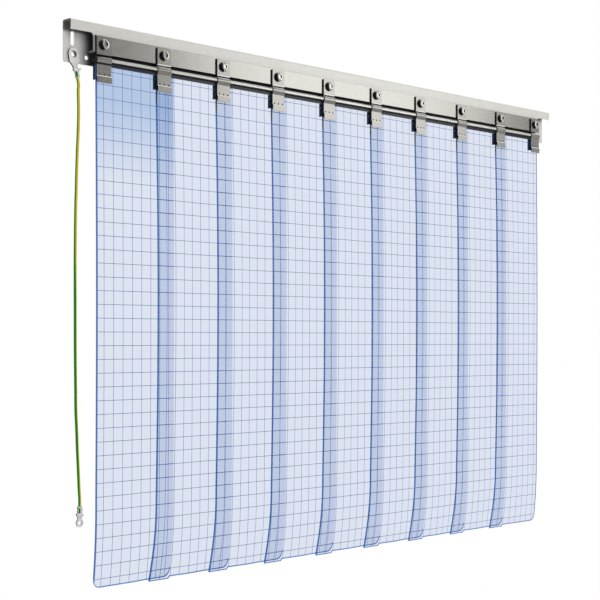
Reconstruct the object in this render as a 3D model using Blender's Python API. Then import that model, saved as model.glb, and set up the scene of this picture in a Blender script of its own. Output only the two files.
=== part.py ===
"""Clear strip curtain hung in pinch clips from a folded steel rail, with an earth lead.

Frame: the origin is on the flat rear face of the rail, at its middle. X runs along the rail
to the right, minus Y points to the viewer and Z is up. Lengths are in metres, angles in degrees.
"""

import math

import bmesh
import bpy
from mathutils import Matrix, Vector

for old in list(bpy.data.objects):
    bpy.data.objects.remove(old, do_unlink=True)

# Air left between pieces that touch
GAP = 0.0003
# Extra reach of a cutter past the wall it cuts
OVERCUT = 0.002

# Rail: one folded sheet, open at the rear bottom
RAIL_LENGTH = 1.470
RAIL_HEIGHT = 0.075
RAIL_DEPTH = 0.025
RAIL_SHEET = 0.003
RAIL_BEND = 0.004
FRONT_WALL_HEIGHT = 0.0535
RETURN_DEPTH = 0.015
NOTCH_LENGTH = 0.050
LIP_HEIGHT = 0.019
NOTCH_CORNER = 0.005
PLATE_CORNER = 0.0035
RELIEF_FROM_END = 0.078
RELIEF_HEIGHT = 0.0045
RELIEF_CORNER = 0.002
SLOT_WIDTH = 0.009
SLOT_HEIGHT = 0.026
SLOT_FROM_END = 0.0195
SLOT_Z = 0.0067
SPARE_HOLE_RADIUS = 0.004
SPARE_HOLE_FROM_END = 0.050
SPARE_HOLE_Z = -0.024

# Bolts: ten button heads with a hexagon socket, in press-in nuts of the rail
BOLT_COUNT = 10
BOLT_FROM_END = 0.069
END_PITCH = 0.141
BOLT_Z = -0.0015
SHANK_RADIUS = 0.005
HEAD_RADIUS = 0.0100
HEAD_SKIRT = 0.0033
HEAD_DOME = 0.004
HEAD_FACE_RADIUS = 0.0043
SOCKET_FLATS = 0.006
SOCKET_DEPTH = 0.003
NUT_FLATS = 0.017
NUT_HEIGHT = 0.008
NUT_SINK = 0.001

# Hanger profile: plate, gutter and round bead in one extrusion
PROFILE_FROM_END = 0.0525
PROFILE_PLATE = 0.0025
PROFILE_TOP_Z = 0.0151
PROFILE_WEB = 0.002
PROFILE_REAR_WEB = 0.002
GUTTER_DEPTH = 0.0083
GUTTER_BEND = 0.001
BEAD_RADIUS = 0.005
BEAD_Y = -0.027
BEAD_Z = -0.0295
LOWER_WEB_ANGLE = 212.0

# Tabs under the bolt heads
TAB_WIDTH = 0.033
TAB_THICKNESS = 0.003
TAB_HEIGHT = 0.0332
TAB_TOP_Z = 0.0129
HEM_HEIGHT = 0.003
HEM_SWELL = 0.0005
HEM_ROUND = 0.001
TAB_CORNER = 0.0015

# Front clips, hooked over the bead
CLIP_SHEET = 0.0017
HOOK_END_ANGLE = 126.0
LEAF_EASE = 0.0085
CREASE_ABOVE_END = 0.012
CREASE_JOG = 0.001
LEAF_END_Z = -0.0713
DIMPLE_RADIUS = 0.0011
DIMPLE_DEPTH = 0.0005
DIMPLE_SPREAD = 0.011
DIMPLE_ABOVE_CREASE = 0.003

# Rear clamp plates
REAR_PLATE_SHEET = 0.0015
REAR_PLATE_DEPTH = 0.007
REAR_PLATE_TOP_Z = -0.0385
REAR_PLATE_END_Z = -0.066

# Rounding of the edges of profile, tabs and rear plates
EDGE_ROUND = 0.0004

# Strips
STRIP_COUNT = 9
STRIP_SHEET = 0.002
STRIP_LENGTH = 0.955
STRIP_LEFT_OVERHANG = 0.018
STRIP_FIRST_OVERHANG = 0.017
STRIP_RIGHT_OVERHANG = 0.026
STRIP_LAST_OVERHANG = 0.010
STRIP_BOW = 0.0022
MARGIN_BOW = 0.0036
CURL_LENGTH = 0.150
CURL_BACK = 0.009
MARGIN_CURL_BACK = 0.003
TIP_FLARE = 0.008
TIP_FLARE_WIDTH = 0.046
TONGUE = 0.004
TONGUE_STEP = 0.004
CORNER_WIDTH = 0.014
CORNER_HEIGHT = 0.017
BOW_START = 0.042
BOW_END = 0.800

# Earth lead with a crimped lug at each end
EYELET_RADIUS = 0.0060
EYELET_BORE_RADIUS = 0.0050
EYELET_FLANGE_RADIUS = 0.0070
EYELET_FLANGE = 0.0006
EARTH_FROM_END = 0.0193
EARTH_Z = -0.0219
LUG_SHEET = 0.0015
UPPER_TAB_RADIUS = 0.0112
UPPER_TILT = 10.5
UPPER_SHOULDER_DROP = 0.0127
UPPER_SHOULDER_ROUND = 0.002
UPPER_WAIST_DROP = 0.0215
UPPER_BARREL_START = 0.026
UPPER_BARREL_END = 0.0428
UPPER_EAR_WIDTH = 0.018
UPPER_EAR_HEIGHT = 0.0055
BARREL_RADIUS = 0.0041
BARREL_RISE = 0.001
NECK_WIDTH = 0.0096
NECK_OVERLAP = 0.004
LEAD_RADIUS = 0.00275
LEAD_DRIFT = 0.0125
LEAD_END_Z = -0.840
LEAD_SWAY = 0.009
LEAD_STRAIGHT = 0.01375
LOWER_BARREL_LENGTH = 0.013
LOWER_BARREL_RADIUS = 0.0058
LOWER_NECK_TOP_WIDTH = 0.0072
LOWER_NECK_LOW_WIDTH = 0.0128
LOWER_RING_RADIUS = 0.008
LOWER_RING_HOLE = 0.0035
LOWER_RING_DROP = 0.0296
LEAD_POINTS = 46

# Round shapes
ROUND_SIDES = 28
BEND_SIDES = 4
HOOK_SIDES = 12
DIMPLE_SIDES = 8
DOME_SIDES = 5
DOME_ANGLE = 60.0
EDGE_SIDES = 2
SMOOTH_ANGLE = 32.0

# Down a strip: dense where it curls
ROW_SHARES = (0.0, 0.04, 0.12, 0.20, 0.29, 0.38, 0.47, 0.56, 0.65, 0.74, 0.82, 0.87, 0.91, 0.945,
              0.975, 1.0)
# Across the rounded corners, from the straight part to the edge
CORNER_SHARES = (0.0, 0.45, 0.8, 0.95, 1.0)
# A tab's rounded corner: how far its middle point stands in, in corner radii
TAB_CORNER_SHARE = 0.3
# Across the plain middle of a strip, counted in laps: where the margins start and stop curling
MIDDLE_SHARES = (1.5, 2.0, 2.45, 2.9)
# Way down the lead, and how far it sways to the left of a line between its ends
LEAD_SHARES = (
    (0.0, 0.0), (0.028, -0.16), (0.075, -0.22), (0.121, -0.10), (0.168, 0.13), (0.215, 0.32),
    (0.261, 0.46), (0.308, 0.62), (0.401, 0.78), (0.471, 0.84), (0.541, 0.86), (0.634, 0.89),
    (0.728, 0.84), (0.774, 0.82), (0.821, 0.64), (0.867, 0.50), (0.914, 0.30), (0.960, 0.12),
    (1.0, 0.0),
)

# Derived places
FRONT_WALL_Y = -RAIL_DEPTH
RAIL_TOP_Z = RAIL_HEIGHT / 2
INNER_BOLTS = BOLT_COUNT - 2
BOLT_PITCH = (RAIL_LENGTH - 2 * (BOLT_FROM_END + END_PITCH)) / (INNER_BOLTS - 1)
PROFILE_LENGTH = RAIL_LENGTH - 2 * PROFILE_FROM_END
EARTH_X = -RAIL_LENGTH / 2 + EARTH_FROM_END
LEAD_END_X = EARTH_X + LEAD_DRIFT
PLATE_BACK_Y = FRONT_WALL_Y - GAP
PLATE_FRONT_Y = PLATE_BACK_Y - PROFILE_PLATE
TAB_BACK_Y = PLATE_FRONT_Y - GAP
TAB_FRONT_Y = TAB_BACK_Y - TAB_THICKNESS
HEAD_BACK_Y = TAB_FRONT_Y - GAP
RETURN_Z = RAIL_TOP_Z - FRONT_WALL_HEIGHT
WEB_TOP_Z = RETURN_Z - GAP
WEB_LOW_Z = WEB_TOP_Z - PROFILE_WEB
REAR_WEB_FRONT_Y = PLATE_FRONT_Y + GUTTER_DEPTH
REAR_WEB_BACK_Y = REAR_WEB_FRONT_Y + PROFILE_REAR_WEB
HOOK_RADIUS = BEAD_RADIUS + GAP + CLIP_SHEET / 2
STRIP_TOP_Z = BEAD_Z - BEAD_RADIUS - GAP
STRIP_MIDDLE_Y = BEAD_Y - STRIP_SHEET / 2
LEAF_MIDDLE_Y = STRIP_MIDDLE_Y - STRIP_SHEET / 2 - GAP - CLIP_SHEET / 2
LAP_STEP = STRIP_SHEET + GAP
LAP = STRIP_LEFT_OVERHANG + STRIP_RIGHT_OVERHANG
LUG_BACK_Y = -RAIL_SHEET - GAP
LUG_FRONT_Y = LUG_BACK_Y - LUG_SHEET
LEAD_Y = LUG_BACK_Y - BARREL_RADIUS


def bolt_places():
    """X of every bolt, left to right."""
    middle = (INNER_BOLTS - 1) / 2
    places = [(index - middle) * BOLT_PITCH for index in range(INNER_BOLTS)]
    return [places[0] - END_PITCH] + places + [places[-1] + END_PITCH]


BOLT_X = bolt_places()


def make_material(name, colour, metallic, roughness, alpha=1.0):
    """A plain Principled material."""
    material = bpy.data.materials.new(name)
    material.use_nodes = True
    shader = material.node_tree.nodes["Principled BSDF"]
    shader.inputs["Base Color"].default_value = (*colour, 1.0)
    shader.inputs["Metallic"].default_value = metallic
    shader.inputs["Roughness"].default_value = roughness
    shader.inputs["Alpha"].default_value = alpha
    material.diffuse_color = (*colour, alpha)
    return material


RAIL_STEEL = make_material("rail_steel", (0.66, 0.64, 0.59), 1.0, 0.35)
PROFILE_STEEL = make_material("profile_steel", (0.50, 0.48, 0.44), 1.0, 0.30)
TAB_STEEL = make_material("tab_steel", (0.56, 0.54, 0.50), 1.0, 0.32)
BOLT_STEEL = make_material("bolt_steel", (0.72, 0.71, 0.69), 1.0, 0.18)
CLIP_STEEL = make_material("clip_steel", (0.60, 0.58, 0.54), 1.0, 0.28)
REAR_STEEL = make_material("rear_plate_steel", (0.45, 0.43, 0.40), 1.0, 0.35)
CLEAR_VINYL = make_material("clear_vinyl", (0.70, 0.80, 0.95), 0.0, 0.12, 0.45)
LUG_TIN = make_material("lug_tin", (0.70, 0.70, 0.68), 1.0, 0.3)
EYELET_STEEL = make_material("eyelet_steel", (0.74, 0.73, 0.70), 1.0, 0.25)
LEAD_VINYL = make_material("lead_vinyl", (0.20, 0.52, 0.10), 0.0, 0.45)


def finish(name, form, material, origin=(0.0, 0.0, 0.0)):
    """Object from a bmesh in the part's frame, with its origin moved to the given point."""
    bmesh.ops.recalc_face_normals(form, faces=form.faces)
    form.transform(Matrix.Translation(-Vector(origin)))
    mesh = bpy.data.meshes.new(name)
    form.to_mesh(mesh)
    form.free()
    mesh.materials.append(material)
    mesh.shade_smooth()
    mesh.set_sharp_from_angle(angle=math.radians(SMOOTH_ANGLE))
    piece = bpy.data.objects.new(name, mesh)
    bpy.context.scene.collection.objects.link(piece)
    piece.location = origin
    return piece


def add_prism(form, outline, low, high, axis):
    """Closed prism in form: outline of (a, b) pairs, drawn square to its axis X, Y or Z."""
    def place(pair, along):
        if axis == "X":
            return (along, pair[0], pair[1])
        return (pair[0], along, pair[1]) if axis == "Y" else (pair[0], pair[1], along)

    near = [form.verts.new(place(pair, low)) for pair in outline]
    far = [form.verts.new(place(pair, high)) for pair in outline]
    form.faces.new(near)
    form.faces.new(list(reversed(far)))
    for index, vert in enumerate(near):
        following = (index + 1) % len(near)
        form.faces.new((vert, far[index], far[following], near[following]))


def add_round(form, rings, centre, sides=ROUND_SIDES, bore=None):
    """Turned body about Y: rings of (radius, y); a bore radius makes it a tube."""
    def circle(radius, y):
        turn = [2 * math.pi * side / sides for side in range(sides)]
        return [form.verts.new((centre[0] + radius * math.cos(angle), y,
                                centre[1] + radius * math.sin(angle))) for angle in turn]

    def skin(first, second):
        for side in range(sides):
            following = (side + 1) % sides
            form.faces.new((first[side], second[side], second[following], first[following]))

    loops = [circle(radius, y) for radius, y in rings]
    for first, second in zip(loops, loops[1:]):
        skin(first, second)
    if bore is None:
        form.faces.new(loops[0])
        form.faces.new(list(reversed(loops[-1])))
        return
    inner = [circle(bore, rings[0][1]), circle(bore, rings[-1][1])]
    skin(inner[0], loops[0])
    skin(inner[1], inner[0])
    skin(loops[-1], inner[1])


def rounded_outline(corners, closed=True, sides=BEND_SIDES):
    """Outline from (a, b, radius) corners, each corner with a radius turned into an arc."""
    points = []
    count = len(corners)
    for index, (a, b, radius) in enumerate(corners):
        end = not closed and index in (0, count - 1)
        if radius <= 0 or end:
            points.append((a, b))
            continue
        here = Vector((a, b))
        before = (Vector(corners[index - 1][:2]) - here).normalized()
        after = (Vector(corners[(index + 1) % count][:2]) - here).normalized()
        half = before.angle(after) / 2
        reach = radius / math.tan(half)
        centre = here + (before + after).normalized() * radius / math.sin(half)
        start = here + before * reach - centre
        stop = here + after * reach - centre
        swing = start.angle_signed(stop)
        for side in range(sides + 1):
            turn = Matrix.Rotation(-swing * side / sides, 2)
            point = centre + turn @ start
            points.append((point.x, point.y))
    return points


def sheet_outline(path, thickness):
    """Closed outline of a bent sheet of a thickness about its middle line."""
    left, right = [], []
    for index, point in enumerate(path):
        here = Vector(point)
        ways = []
        if index:
            ways.append((here - Vector(path[index - 1])).normalized())
        if index < len(path) - 1:
            ways.append((Vector(path[index + 1]) - here).normalized())
        way = sum(ways, Vector((0.0, 0.0))).normalized()
        stretch = 1 / max(way.dot(ways[0]), GAP)
        side = Vector((-way.y, way.x)) * thickness / 2 * stretch
        left.append(tuple(here + side))
        right.append(tuple(here - side))
    return left + right[::-1]


def hexagon(centre, flats):
    """Corners of a hexagon of a width across flats."""
    reach = flats / math.sqrt(3)
    return [(centre[0] + reach * math.cos(corner * math.pi / 3),
             centre[1] + reach * math.sin(corner * math.pi / 3)) for corner in range(6)]


def combine(body, tool_form, operation):
    """Boolean of the body with every closed form in tool_form, applied at once."""
    tool_mesh = bpy.data.meshes.new("tool")
    bmesh.ops.recalc_face_normals(tool_form, faces=tool_form.faces)
    tool_form.to_mesh(tool_mesh)
    tool_form.free()
    tool = bpy.data.objects.new("tool", tool_mesh)
    bpy.context.scene.collection.objects.link(tool)
    tool.hide_render = True
    tool.display_type = "WIRE"
    modifier = body.modifiers.new("combine", "BOOLEAN")
    modifier.operation = operation
    modifier.solver = "EXACT"
    modifier.object = tool
    graph = bpy.context.evaluated_depsgraph_get()
    mesh = bpy.data.meshes.new_from_object(body.evaluated_get(graph))
    body.modifiers.remove(modifier)
    body.data = mesh
    mesh.name = body.name
    mesh.shade_smooth()
    mesh.set_sharp_from_angle(angle=math.radians(SMOOTH_ANGLE))
    bpy.data.objects.remove(tool, do_unlink=True)
    return body


def build_rail():
    """Folded rail: end notches, fixing slots, a rear edge cut back, and the press-in nuts."""
    half = RAIL_SHEET / 2
    bend = RAIL_BEND - half
    path = rounded_outline((
        (-half, -RAIL_TOP_Z, 0.0),
        (-half, RAIL_TOP_Z - half, bend),
        (FRONT_WALL_Y + half, RAIL_TOP_Z - half, bend),
        (FRONT_WALL_Y + half, RETURN_Z + half, bend),
        (FRONT_WALL_Y + RETURN_DEPTH, RETURN_Z + half, 0.0),
    ), closed=False)
    form = bmesh.new()
    add_prism(form, sheet_outline(path, RAIL_SHEET), -RAIL_LENGTH / 2, RAIL_LENGTH / 2, "X")
    rail = finish("mounting_rail", form, RAIL_STEEL)

    nuts = bmesh.new()
    wall_back = FRONT_WALL_Y + RAIL_SHEET
    for x in BOLT_X:
        add_prism(nuts, hexagon((x, BOLT_Z), NUT_FLATS), wall_back - NUT_SINK,
                  wall_back + NUT_HEIGHT, "Y")
    combine(rail, nuts, "UNION")

    cuts = bmesh.new()
    end = RAIL_LENGTH / 2
    notch_low = RETURN_Z - OVERCUT
    lip_low = RAIL_TOP_Z - LIP_HEIGHT
    notch_back = FRONT_WALL_Y + RETURN_DEPTH + OVERCUT
    for side in (-1, 1):
        inner = side * (end - NOTCH_LENGTH)
        outer = side * (end + OVERCUT)
        notch = rounded_outline(((outer, notch_low, 0.0), (outer, lip_low, 0.0),
                                 (inner, lip_low, NOTCH_CORNER), (inner, notch_low, 0.0)))
        add_prism(cuts, notch, FRONT_WALL_Y - OVERCUT, notch_back, "Y")
        slot_x = side * (end - SLOT_FROM_END)
        wide, straight = SLOT_WIDTH / 2, (SLOT_HEIGHT - SLOT_WIDTH) / 2
        slot = []
        for way in (1, -1):
            for step in range(HOOK_SIDES + 1):
                angle = math.pi * step / HOOK_SIDES
                slot.append((slot_x + way * wide * math.cos(angle),
                             SLOT_Z + way * (straight + wide * math.sin(angle))))
        add_prism(cuts, slot, -RAIL_SHEET - OVERCUT, OVERCUT, "Y")
        spare_x = side * (end - SPARE_HOLE_FROM_END)
        add_round(cuts, ((SPARE_HOLE_RADIUS, -RAIL_SHEET - OVERCUT),
                         (SPARE_HOLE_RADIUS, OVERCUT)), (spare_x, SPARE_HOLE_Z))
        corner_x = side * end
        reach = corner_x + side * OVERCUT
        arc = [(corner_x - side * PLATE_CORNER * (1 - math.sin(angle)),
                -RAIL_TOP_Z + PLATE_CORNER * (1 - math.cos(angle)))
               for angle in [math.pi / 2 * step / BEND_SIDES for step in range(1, BEND_SIDES)]]
        shape = arc + [(reach, -RAIL_TOP_Z + PLATE_CORNER), (reach, -RAIL_TOP_Z - OVERCUT),
                       (corner_x - side * PLATE_CORNER, -RAIL_TOP_Z - OVERCUT)]
        add_prism(cuts, shape, -RAIL_SHEET - OVERCUT, OVERCUT, "Y")
    relief = end - RELIEF_FROM_END
    relief_low, relief_high = -RAIL_TOP_Z - OVERCUT, -RAIL_TOP_Z + RELIEF_HEIGHT
    add_prism(cuts, rounded_outline(((-relief, relief_low, 0.0), (relief, relief_low, 0.0),
                                     (relief, relief_high, RELIEF_CORNER),
                                     (-relief, relief_high, RELIEF_CORNER))),
              -RAIL_SHEET - OVERCUT, OVERCUT, "Y")
    add_round(cuts, ((EYELET_RADIUS + GAP, -RAIL_SHEET - OVERCUT),
                     (EYELET_RADIUS + GAP, OVERCUT)), (EARTH_X, EARTH_Z))
    for x in BOLT_X:
        add_round(cuts, ((SHANK_RADIUS + GAP, FRONT_WALL_Y - OVERCUT),
                         (SHANK_RADIUS + GAP, wall_back + NUT_HEIGHT + OVERCUT)), (x, BOLT_Z))
    return combine(rail, cuts, "DIFFERENCE")


def build_profile():
    """Hanger profile: plate, gutter and bead drawn once and run the length of the curtain."""
    low_angle = math.radians(LOWER_WEB_ANGLE)
    web_low_z = BEAD_Z + BEAD_RADIUS * math.sin(low_angle)
    bead = []
    bead_sides = ROUND_SIDES - HOOK_SIDES
    for step in range(bead_sides + 1):
        angle = math.pi - (3 * math.pi - low_angle) * step / bead_sides
        bead.append((BEAD_Y - BEAD_RADIUS * math.cos(angle), BEAD_Z + BEAD_RADIUS * math.sin(angle)))
    outline = rounded_outline((
        (PLATE_BACK_Y, WEB_TOP_Z, 0.0),
        (PLATE_BACK_Y, PROFILE_TOP_Z, EDGE_ROUND),
        (PLATE_FRONT_Y, PROFILE_TOP_Z, EDGE_ROUND),
        (PLATE_FRONT_Y, WEB_LOW_Z, EDGE_ROUND),
        (REAR_WEB_FRONT_Y, WEB_LOW_Z, EDGE_ROUND),
        (REAR_WEB_FRONT_Y, BEAD_Z, 0.0),
    ))
    outline += bead
    outline += rounded_outline((
        bead[-1] + (0.0,),
        (REAR_WEB_BACK_Y, web_low_z, GUTTER_BEND),
        (REAR_WEB_BACK_Y, WEB_TOP_Z, GUTTER_BEND),
        (PLATE_BACK_Y, WEB_TOP_Z, 0.0),
    ), closed=False)[1:-1]
    form = bmesh.new()
    add_prism(form, outline, -PROFILE_LENGTH / 2, PROFILE_LENGTH / 2, "X")
    profile = finish("hanger_profile", form, PROFILE_STEEL)
    cuts = bmesh.new()
    for x in BOLT_X:
        add_round(cuts, ((SHANK_RADIUS + GAP, PLATE_FRONT_Y - OVERCUT),
                         (SHANK_RADIUS + GAP, PLATE_BACK_Y + OVERCUT)), (x, BOLT_Z))
    return combine(profile, cuts, "DIFFERENCE")


def build_tab(number, x):
    """Square clamp tab with a swollen hem along its lower edge."""
    low_z = TAB_TOP_Z - TAB_HEIGHT
    hem = TAB_FRONT_Y - HEM_SWELL
    outline = rounded_outline((
        (TAB_BACK_Y, low_z, EDGE_ROUND),
        (TAB_BACK_Y, TAB_TOP_Z, EDGE_ROUND),
        (TAB_FRONT_Y, TAB_TOP_Z, EDGE_ROUND),
        (TAB_FRONT_Y, low_z + HEM_HEIGHT, 0.0),
        (hem, low_z + HEM_HEIGHT - HEM_ROUND, 0.0),
        (hem, low_z, HEM_ROUND),
    ))
    form = bmesh.new()
    add_prism(form, outline, x - TAB_WIDTH / 2, x + TAB_WIDTH / 2, "X")
    tab = finish("tab_%d" % number, form, TAB_STEEL)
    cuts = bmesh.new()
    add_round(cuts, ((SHANK_RADIUS + GAP, TAB_FRONT_Y - OVERCUT),
                     (SHANK_RADIUS + GAP, TAB_BACK_Y + OVERCUT)), (x, BOLT_Z))
    edge = TAB_WIDTH / 2
    inset = TAB_CORNER * TAB_CORNER_SHARE
    for side in (-1, 1):
        for level, way in ((TAB_TOP_Z, -1), (low_z, 1)):
            corner = (x + side * edge, level)
            reach = [(corner[0] + side * OVERCUT, level - way * OVERCUT),
                     (corner[0] + side * OVERCUT, level + way * TAB_CORNER),
                     (corner[0], level + way * TAB_CORNER),
                     (corner[0] - side * inset, level + way * inset),
                     (corner[0] - side * TAB_CORNER, level),
                     (corner[0] - side * TAB_CORNER, level - way * OVERCUT)]
            add_prism(cuts, reach, hem - OVERCUT, TAB_BACK_Y + OVERCUT, "Y")
    return combine(tab, cuts, "DIFFERENCE")


def build_bolt(number, x):
    """Button head screw with a domed head, a hexagon socket and a plain shank."""
    shank_end = FRONT_WALL_Y + RAIL_SHEET + NUT_HEIGHT + GAP
    rings = [(SHANK_RADIUS, shank_end), (SHANK_RADIUS, HEAD_BACK_Y), (HEAD_RADIUS, HEAD_BACK_Y),
             (HEAD_RADIUS, HEAD_BACK_Y - HEAD_SKIRT)]
    full = math.radians(DOME_ANGLE)
    for step in range(1, DOME_SIDES + 1):
        angle = full * step / DOME_SIDES
        share = (1 - math.cos(angle)) / (1 - math.cos(full))
        radius = HEAD_RADIUS - (HEAD_RADIUS - HEAD_FACE_RADIUS) * share
        depth = HEAD_SKIRT + HEAD_DOME * math.sin(angle) / math.sin(full)
        rings.append((radius, HEAD_BACK_Y - depth))
    form = bmesh.new()
    add_round(form, rings, (x, BOLT_Z))
    bolt = finish("bolt_%d" % number, form, BOLT_STEEL)
    cuts = bmesh.new()
    face = HEAD_BACK_Y - HEAD_SKIRT - HEAD_DOME
    add_prism(cuts, hexagon((x, BOLT_Z), SOCKET_FLATS), face - OVERCUT, face + SOCKET_DEPTH, "Y")
    return combine(bolt, cuts, "DIFFERENCE")


def clip_line():
    """Middle line of a front clip: over the bead, then down in front of the strip."""
    points = []
    for step in range(HOOK_SIDES + 1):
        angle = math.radians(HOOK_END_ANGLE) * (1 - step / HOOK_SIDES)
        points.append((BEAD_Y - HOOK_RADIUS * math.cos(angle), BEAD_Z + HOOK_RADIUS * math.sin(angle)))
    front = BEAD_Y - HOOK_RADIUS
    for step in range(1, BEND_SIDES + 2):
        share = step / (BEND_SIDES + 1)
        ease = (1 - math.cos(math.pi * share)) / 2
        points.append((front + (LEAF_MIDDLE_Y - front) * ease, BEAD_Z - LEAF_EASE * share))
    crease = LEAF_END_Z + CREASE_ABOVE_END
    points.append((LEAF_MIDDLE_Y, crease + CREASE_JOG))
    points.append((LEAF_MIDDLE_Y - CREASE_JOG, crease - CREASE_JOG))
    points.append((LEAF_MIDDLE_Y - CREASE_JOG, LEAF_END_Z))
    return points


def build_clip(number, x, pivot):
    """Front clip: hook round the bead and a flat leaf with a crease and three dimples."""
    form = bmesh.new()
    outline = sheet_outline(clip_line(), CLIP_SHEET)
    add_prism(form, outline, x - TAB_WIDTH / 2, x + TAB_WIDTH / 2, "X")
    clip = finish("clip_%d" % number, form, CLIP_STEEL)
    cuts = bmesh.new()
    face = LEAF_MIDDLE_Y - CLIP_SHEET / 2
    level = LEAF_END_Z + CREASE_ABOVE_END + DIMPLE_ABOVE_CREASE
    for side in (-1, 0, 1):
        add_round(cuts, ((DIMPLE_RADIUS, face - OVERCUT), (DIMPLE_RADIUS, face + DIMPLE_DEPTH)),
                  (x + side * DIMPLE_SPREAD, level), sides=DIMPLE_SIDES)
    combine(clip, cuts, "DIFFERENCE")
    return set_origin(clip, pivot)


def set_origin(piece, pivot):
    """Move a piece's origin to its hinge line without moving the piece."""
    shift = Vector(pivot) - piece.location
    piece.data.transform(Matrix.Translation(-shift))
    piece.location = pivot
    return piece


def rear_plate_front(number):
    """Y of the front face of a rear plate, just behind the strip margin it backs."""
    if number == 1:
        back = strip_middle(1, LAP, STRIP_TOP_Z)
    elif number == BOLT_COUNT:
        back = strip_middle(STRIP_COUNT, 0.0, STRIP_TOP_Z)
    else:
        back = strip_middle(number - 1, strip_width(number - 1), STRIP_TOP_Z)
    return back + STRIP_SHEET / 2 + GAP


def build_rear_plate(number, x, pivot):
    """Folded clamp plate behind the strips of one clip, with a flange at each side."""
    front = rear_plate_front(number)
    middle = front + REAR_PLATE_SHEET / 2
    reach = TAB_WIDTH / 2 - REAR_PLATE_SHEET / 2
    outline = sheet_outline(((x - reach, front + REAR_PLATE_DEPTH), (x - reach, middle),
                             (x + reach, middle), (x + reach, front + REAR_PLATE_DEPTH)),
                            REAR_PLATE_SHEET)
    form = bmesh.new()
    add_prism(form, outline, REAR_PLATE_END_Z, REAR_PLATE_TOP_Z, "Z")
    return finish("rear_plate_%d" % number, form, REAR_STEEL, pivot)


def strip_left(number):
    """X of a strip's left edge."""
    overhang = STRIP_FIRST_OVERHANG if number == 1 else STRIP_LEFT_OVERHANG
    return BOLT_X[number - 1] - overhang


def strip_width(number):
    """Width of a strip, from its left edge to its right one."""
    overhang = STRIP_LAST_OVERHANG if number == STRIP_COUNT else STRIP_RIGHT_OVERHANG
    return BOLT_X[number] + overhang - strip_left(number)


def ramp(value, low, high):
    """Smooth step from 0 at low to 1 at high."""
    share = min(max((value - low) / (high - low), 0.0), 1.0)
    return share * share * (3 - 2 * share)


def curl_share(z):
    """0 above the curled foot of a strip, 1 at its lower end."""
    start = STRIP_TOP_Z - STRIP_LENGTH + CURL_LENGTH
    return min(max((start - z) / CURL_LENGTH, 0.0), 1.0) ** 2


def strip_middle(number, across, z):
    """Y of a strip's middle plane at a distance across from its left edge."""
    if number == STRIP_COUNT:
        slope = 0.0
    else:
        slope = LAP_STEP / (strip_left(number + 1) - strip_left(number))
    share = min(max((STRIP_TOP_Z - BOW_START - z) / (BOW_END - BOW_START), 0.0), 1.0)
    bow = math.sin(math.pi * share)
    left_margin = 1 - ramp(across, LAP, LAP * MIDDLE_SHARES[2])
    right_margin = ramp(across, LAP * MIDDLE_SHARES[1], LAP * MIDDLE_SHARES[-1])
    y = STRIP_MIDDLE_Y + slope * across - STRIP_BOW * bow + CURL_BACK * curl_share(z)
    if number > 1:
        y += left_margin * (MARGIN_CURL_BACK * curl_share(z) - MARGIN_BOW * bow)
    if number < STRIP_COUNT:
        y += right_margin * MARGIN_CURL_BACK * curl_share(z)
    return y


def strip_columns(number):
    """Distances across a strip at which its mesh has a column."""
    width = strip_width(number)
    left = [CORNER_WIDTH * (1 - share) for share in reversed(CORNER_SHARES)]
    lap = [LAP - TONGUE_STEP, LAP]
    plain = [LAP * share for share in MIDDLE_SHARES]
    right = [width - CORNER_WIDTH + CORNER_WIDTH * share for share in CORNER_SHARES]
    return left + lap + plain + right


def strip_bottom(number, across):
    """Z of a strip's lower edge: rounded free corners, and a tongue in front of the lap."""
    width = strip_width(number)
    z = STRIP_TOP_Z - STRIP_LENGTH
    from_right = (across - width + CORNER_WIDTH) / CORNER_WIDTH
    if from_right > 0:
        z += CORNER_HEIGHT * (1 - math.sqrt(max(1 - from_right ** 2, 0.0)))
    from_left = (CORNER_WIDTH - across) / CORNER_WIDTH
    if number == 1:
        if from_left > 0:
            z += CORNER_HEIGHT * (1 - math.sqrt(max(1 - from_left ** 2, 0.0)))
        return z
    return z - TONGUE * (1 - ramp(across, LAP - TONGUE_STEP, LAP))


def build_strip(number, pivot):
    """One clear strip as a closed skin: front face, rear face and the edge between them."""
    form = bmesh.new()
    left = strip_left(number)
    columns = strip_columns(number)
    faces = []
    for side in (-1, 1):
        grid = []
        for across in columns:
            bottom = strip_bottom(number, across)
            line = []
            for share in ROW_SHARES:
                z = bottom if share == ROW_SHARES[-1] else STRIP_TOP_Z - STRIP_LENGTH * share
                flare = 0.0
                if number > 1:
                    reach = max(1 - across / TIP_FLARE_WIDTH, 0.0)
                    flare = TIP_FLARE * curl_share(z) * reach
                y = strip_middle(number, across, z) + side * STRIP_SHEET / 2
                line.append(form.verts.new((left + across - flare, y, z)))
            grid.append(line)
        faces.append(grid)
        for first, second in zip(grid, grid[1:]):
            for row in range(len(ROW_SHARES) - 1):
                form.faces.new((first[row], second[row], second[row + 1], first[row + 1]))
    front, rear = faces
    last = len(ROW_SHARES) - 1
    for column in range(len(columns) - 1):
        for row in (0, last):
            form.faces.new((front[column][row], front[column + 1][row],
                            rear[column + 1][row], rear[column][row]))
    for column in (0, len(columns) - 1):
        for row in range(last):
            form.faces.new((front[column][row], front[column][row + 1],
                            rear[column][row + 1], rear[column][row]))
    return finish("strip_%d" % number, form, CLEAR_VINYL, pivot)


def turned(form, point, angle):
    """Turn a form about the Y direction through a point in the XZ plane."""
    centre = Vector((point[0], 0.0, point[1]))
    turn = Matrix.Rotation(math.radians(angle), 4, "Y")
    form.transform(Matrix.Translation(centre) @ turn @ Matrix.Translation(-centre))
    return form


def box_outline(x, half_width, high, low):
    """Upright rectangle in XZ."""
    return [(x - half_width, low), (x + half_width, low), (x + half_width, high),
            (x - half_width, high)]


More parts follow.
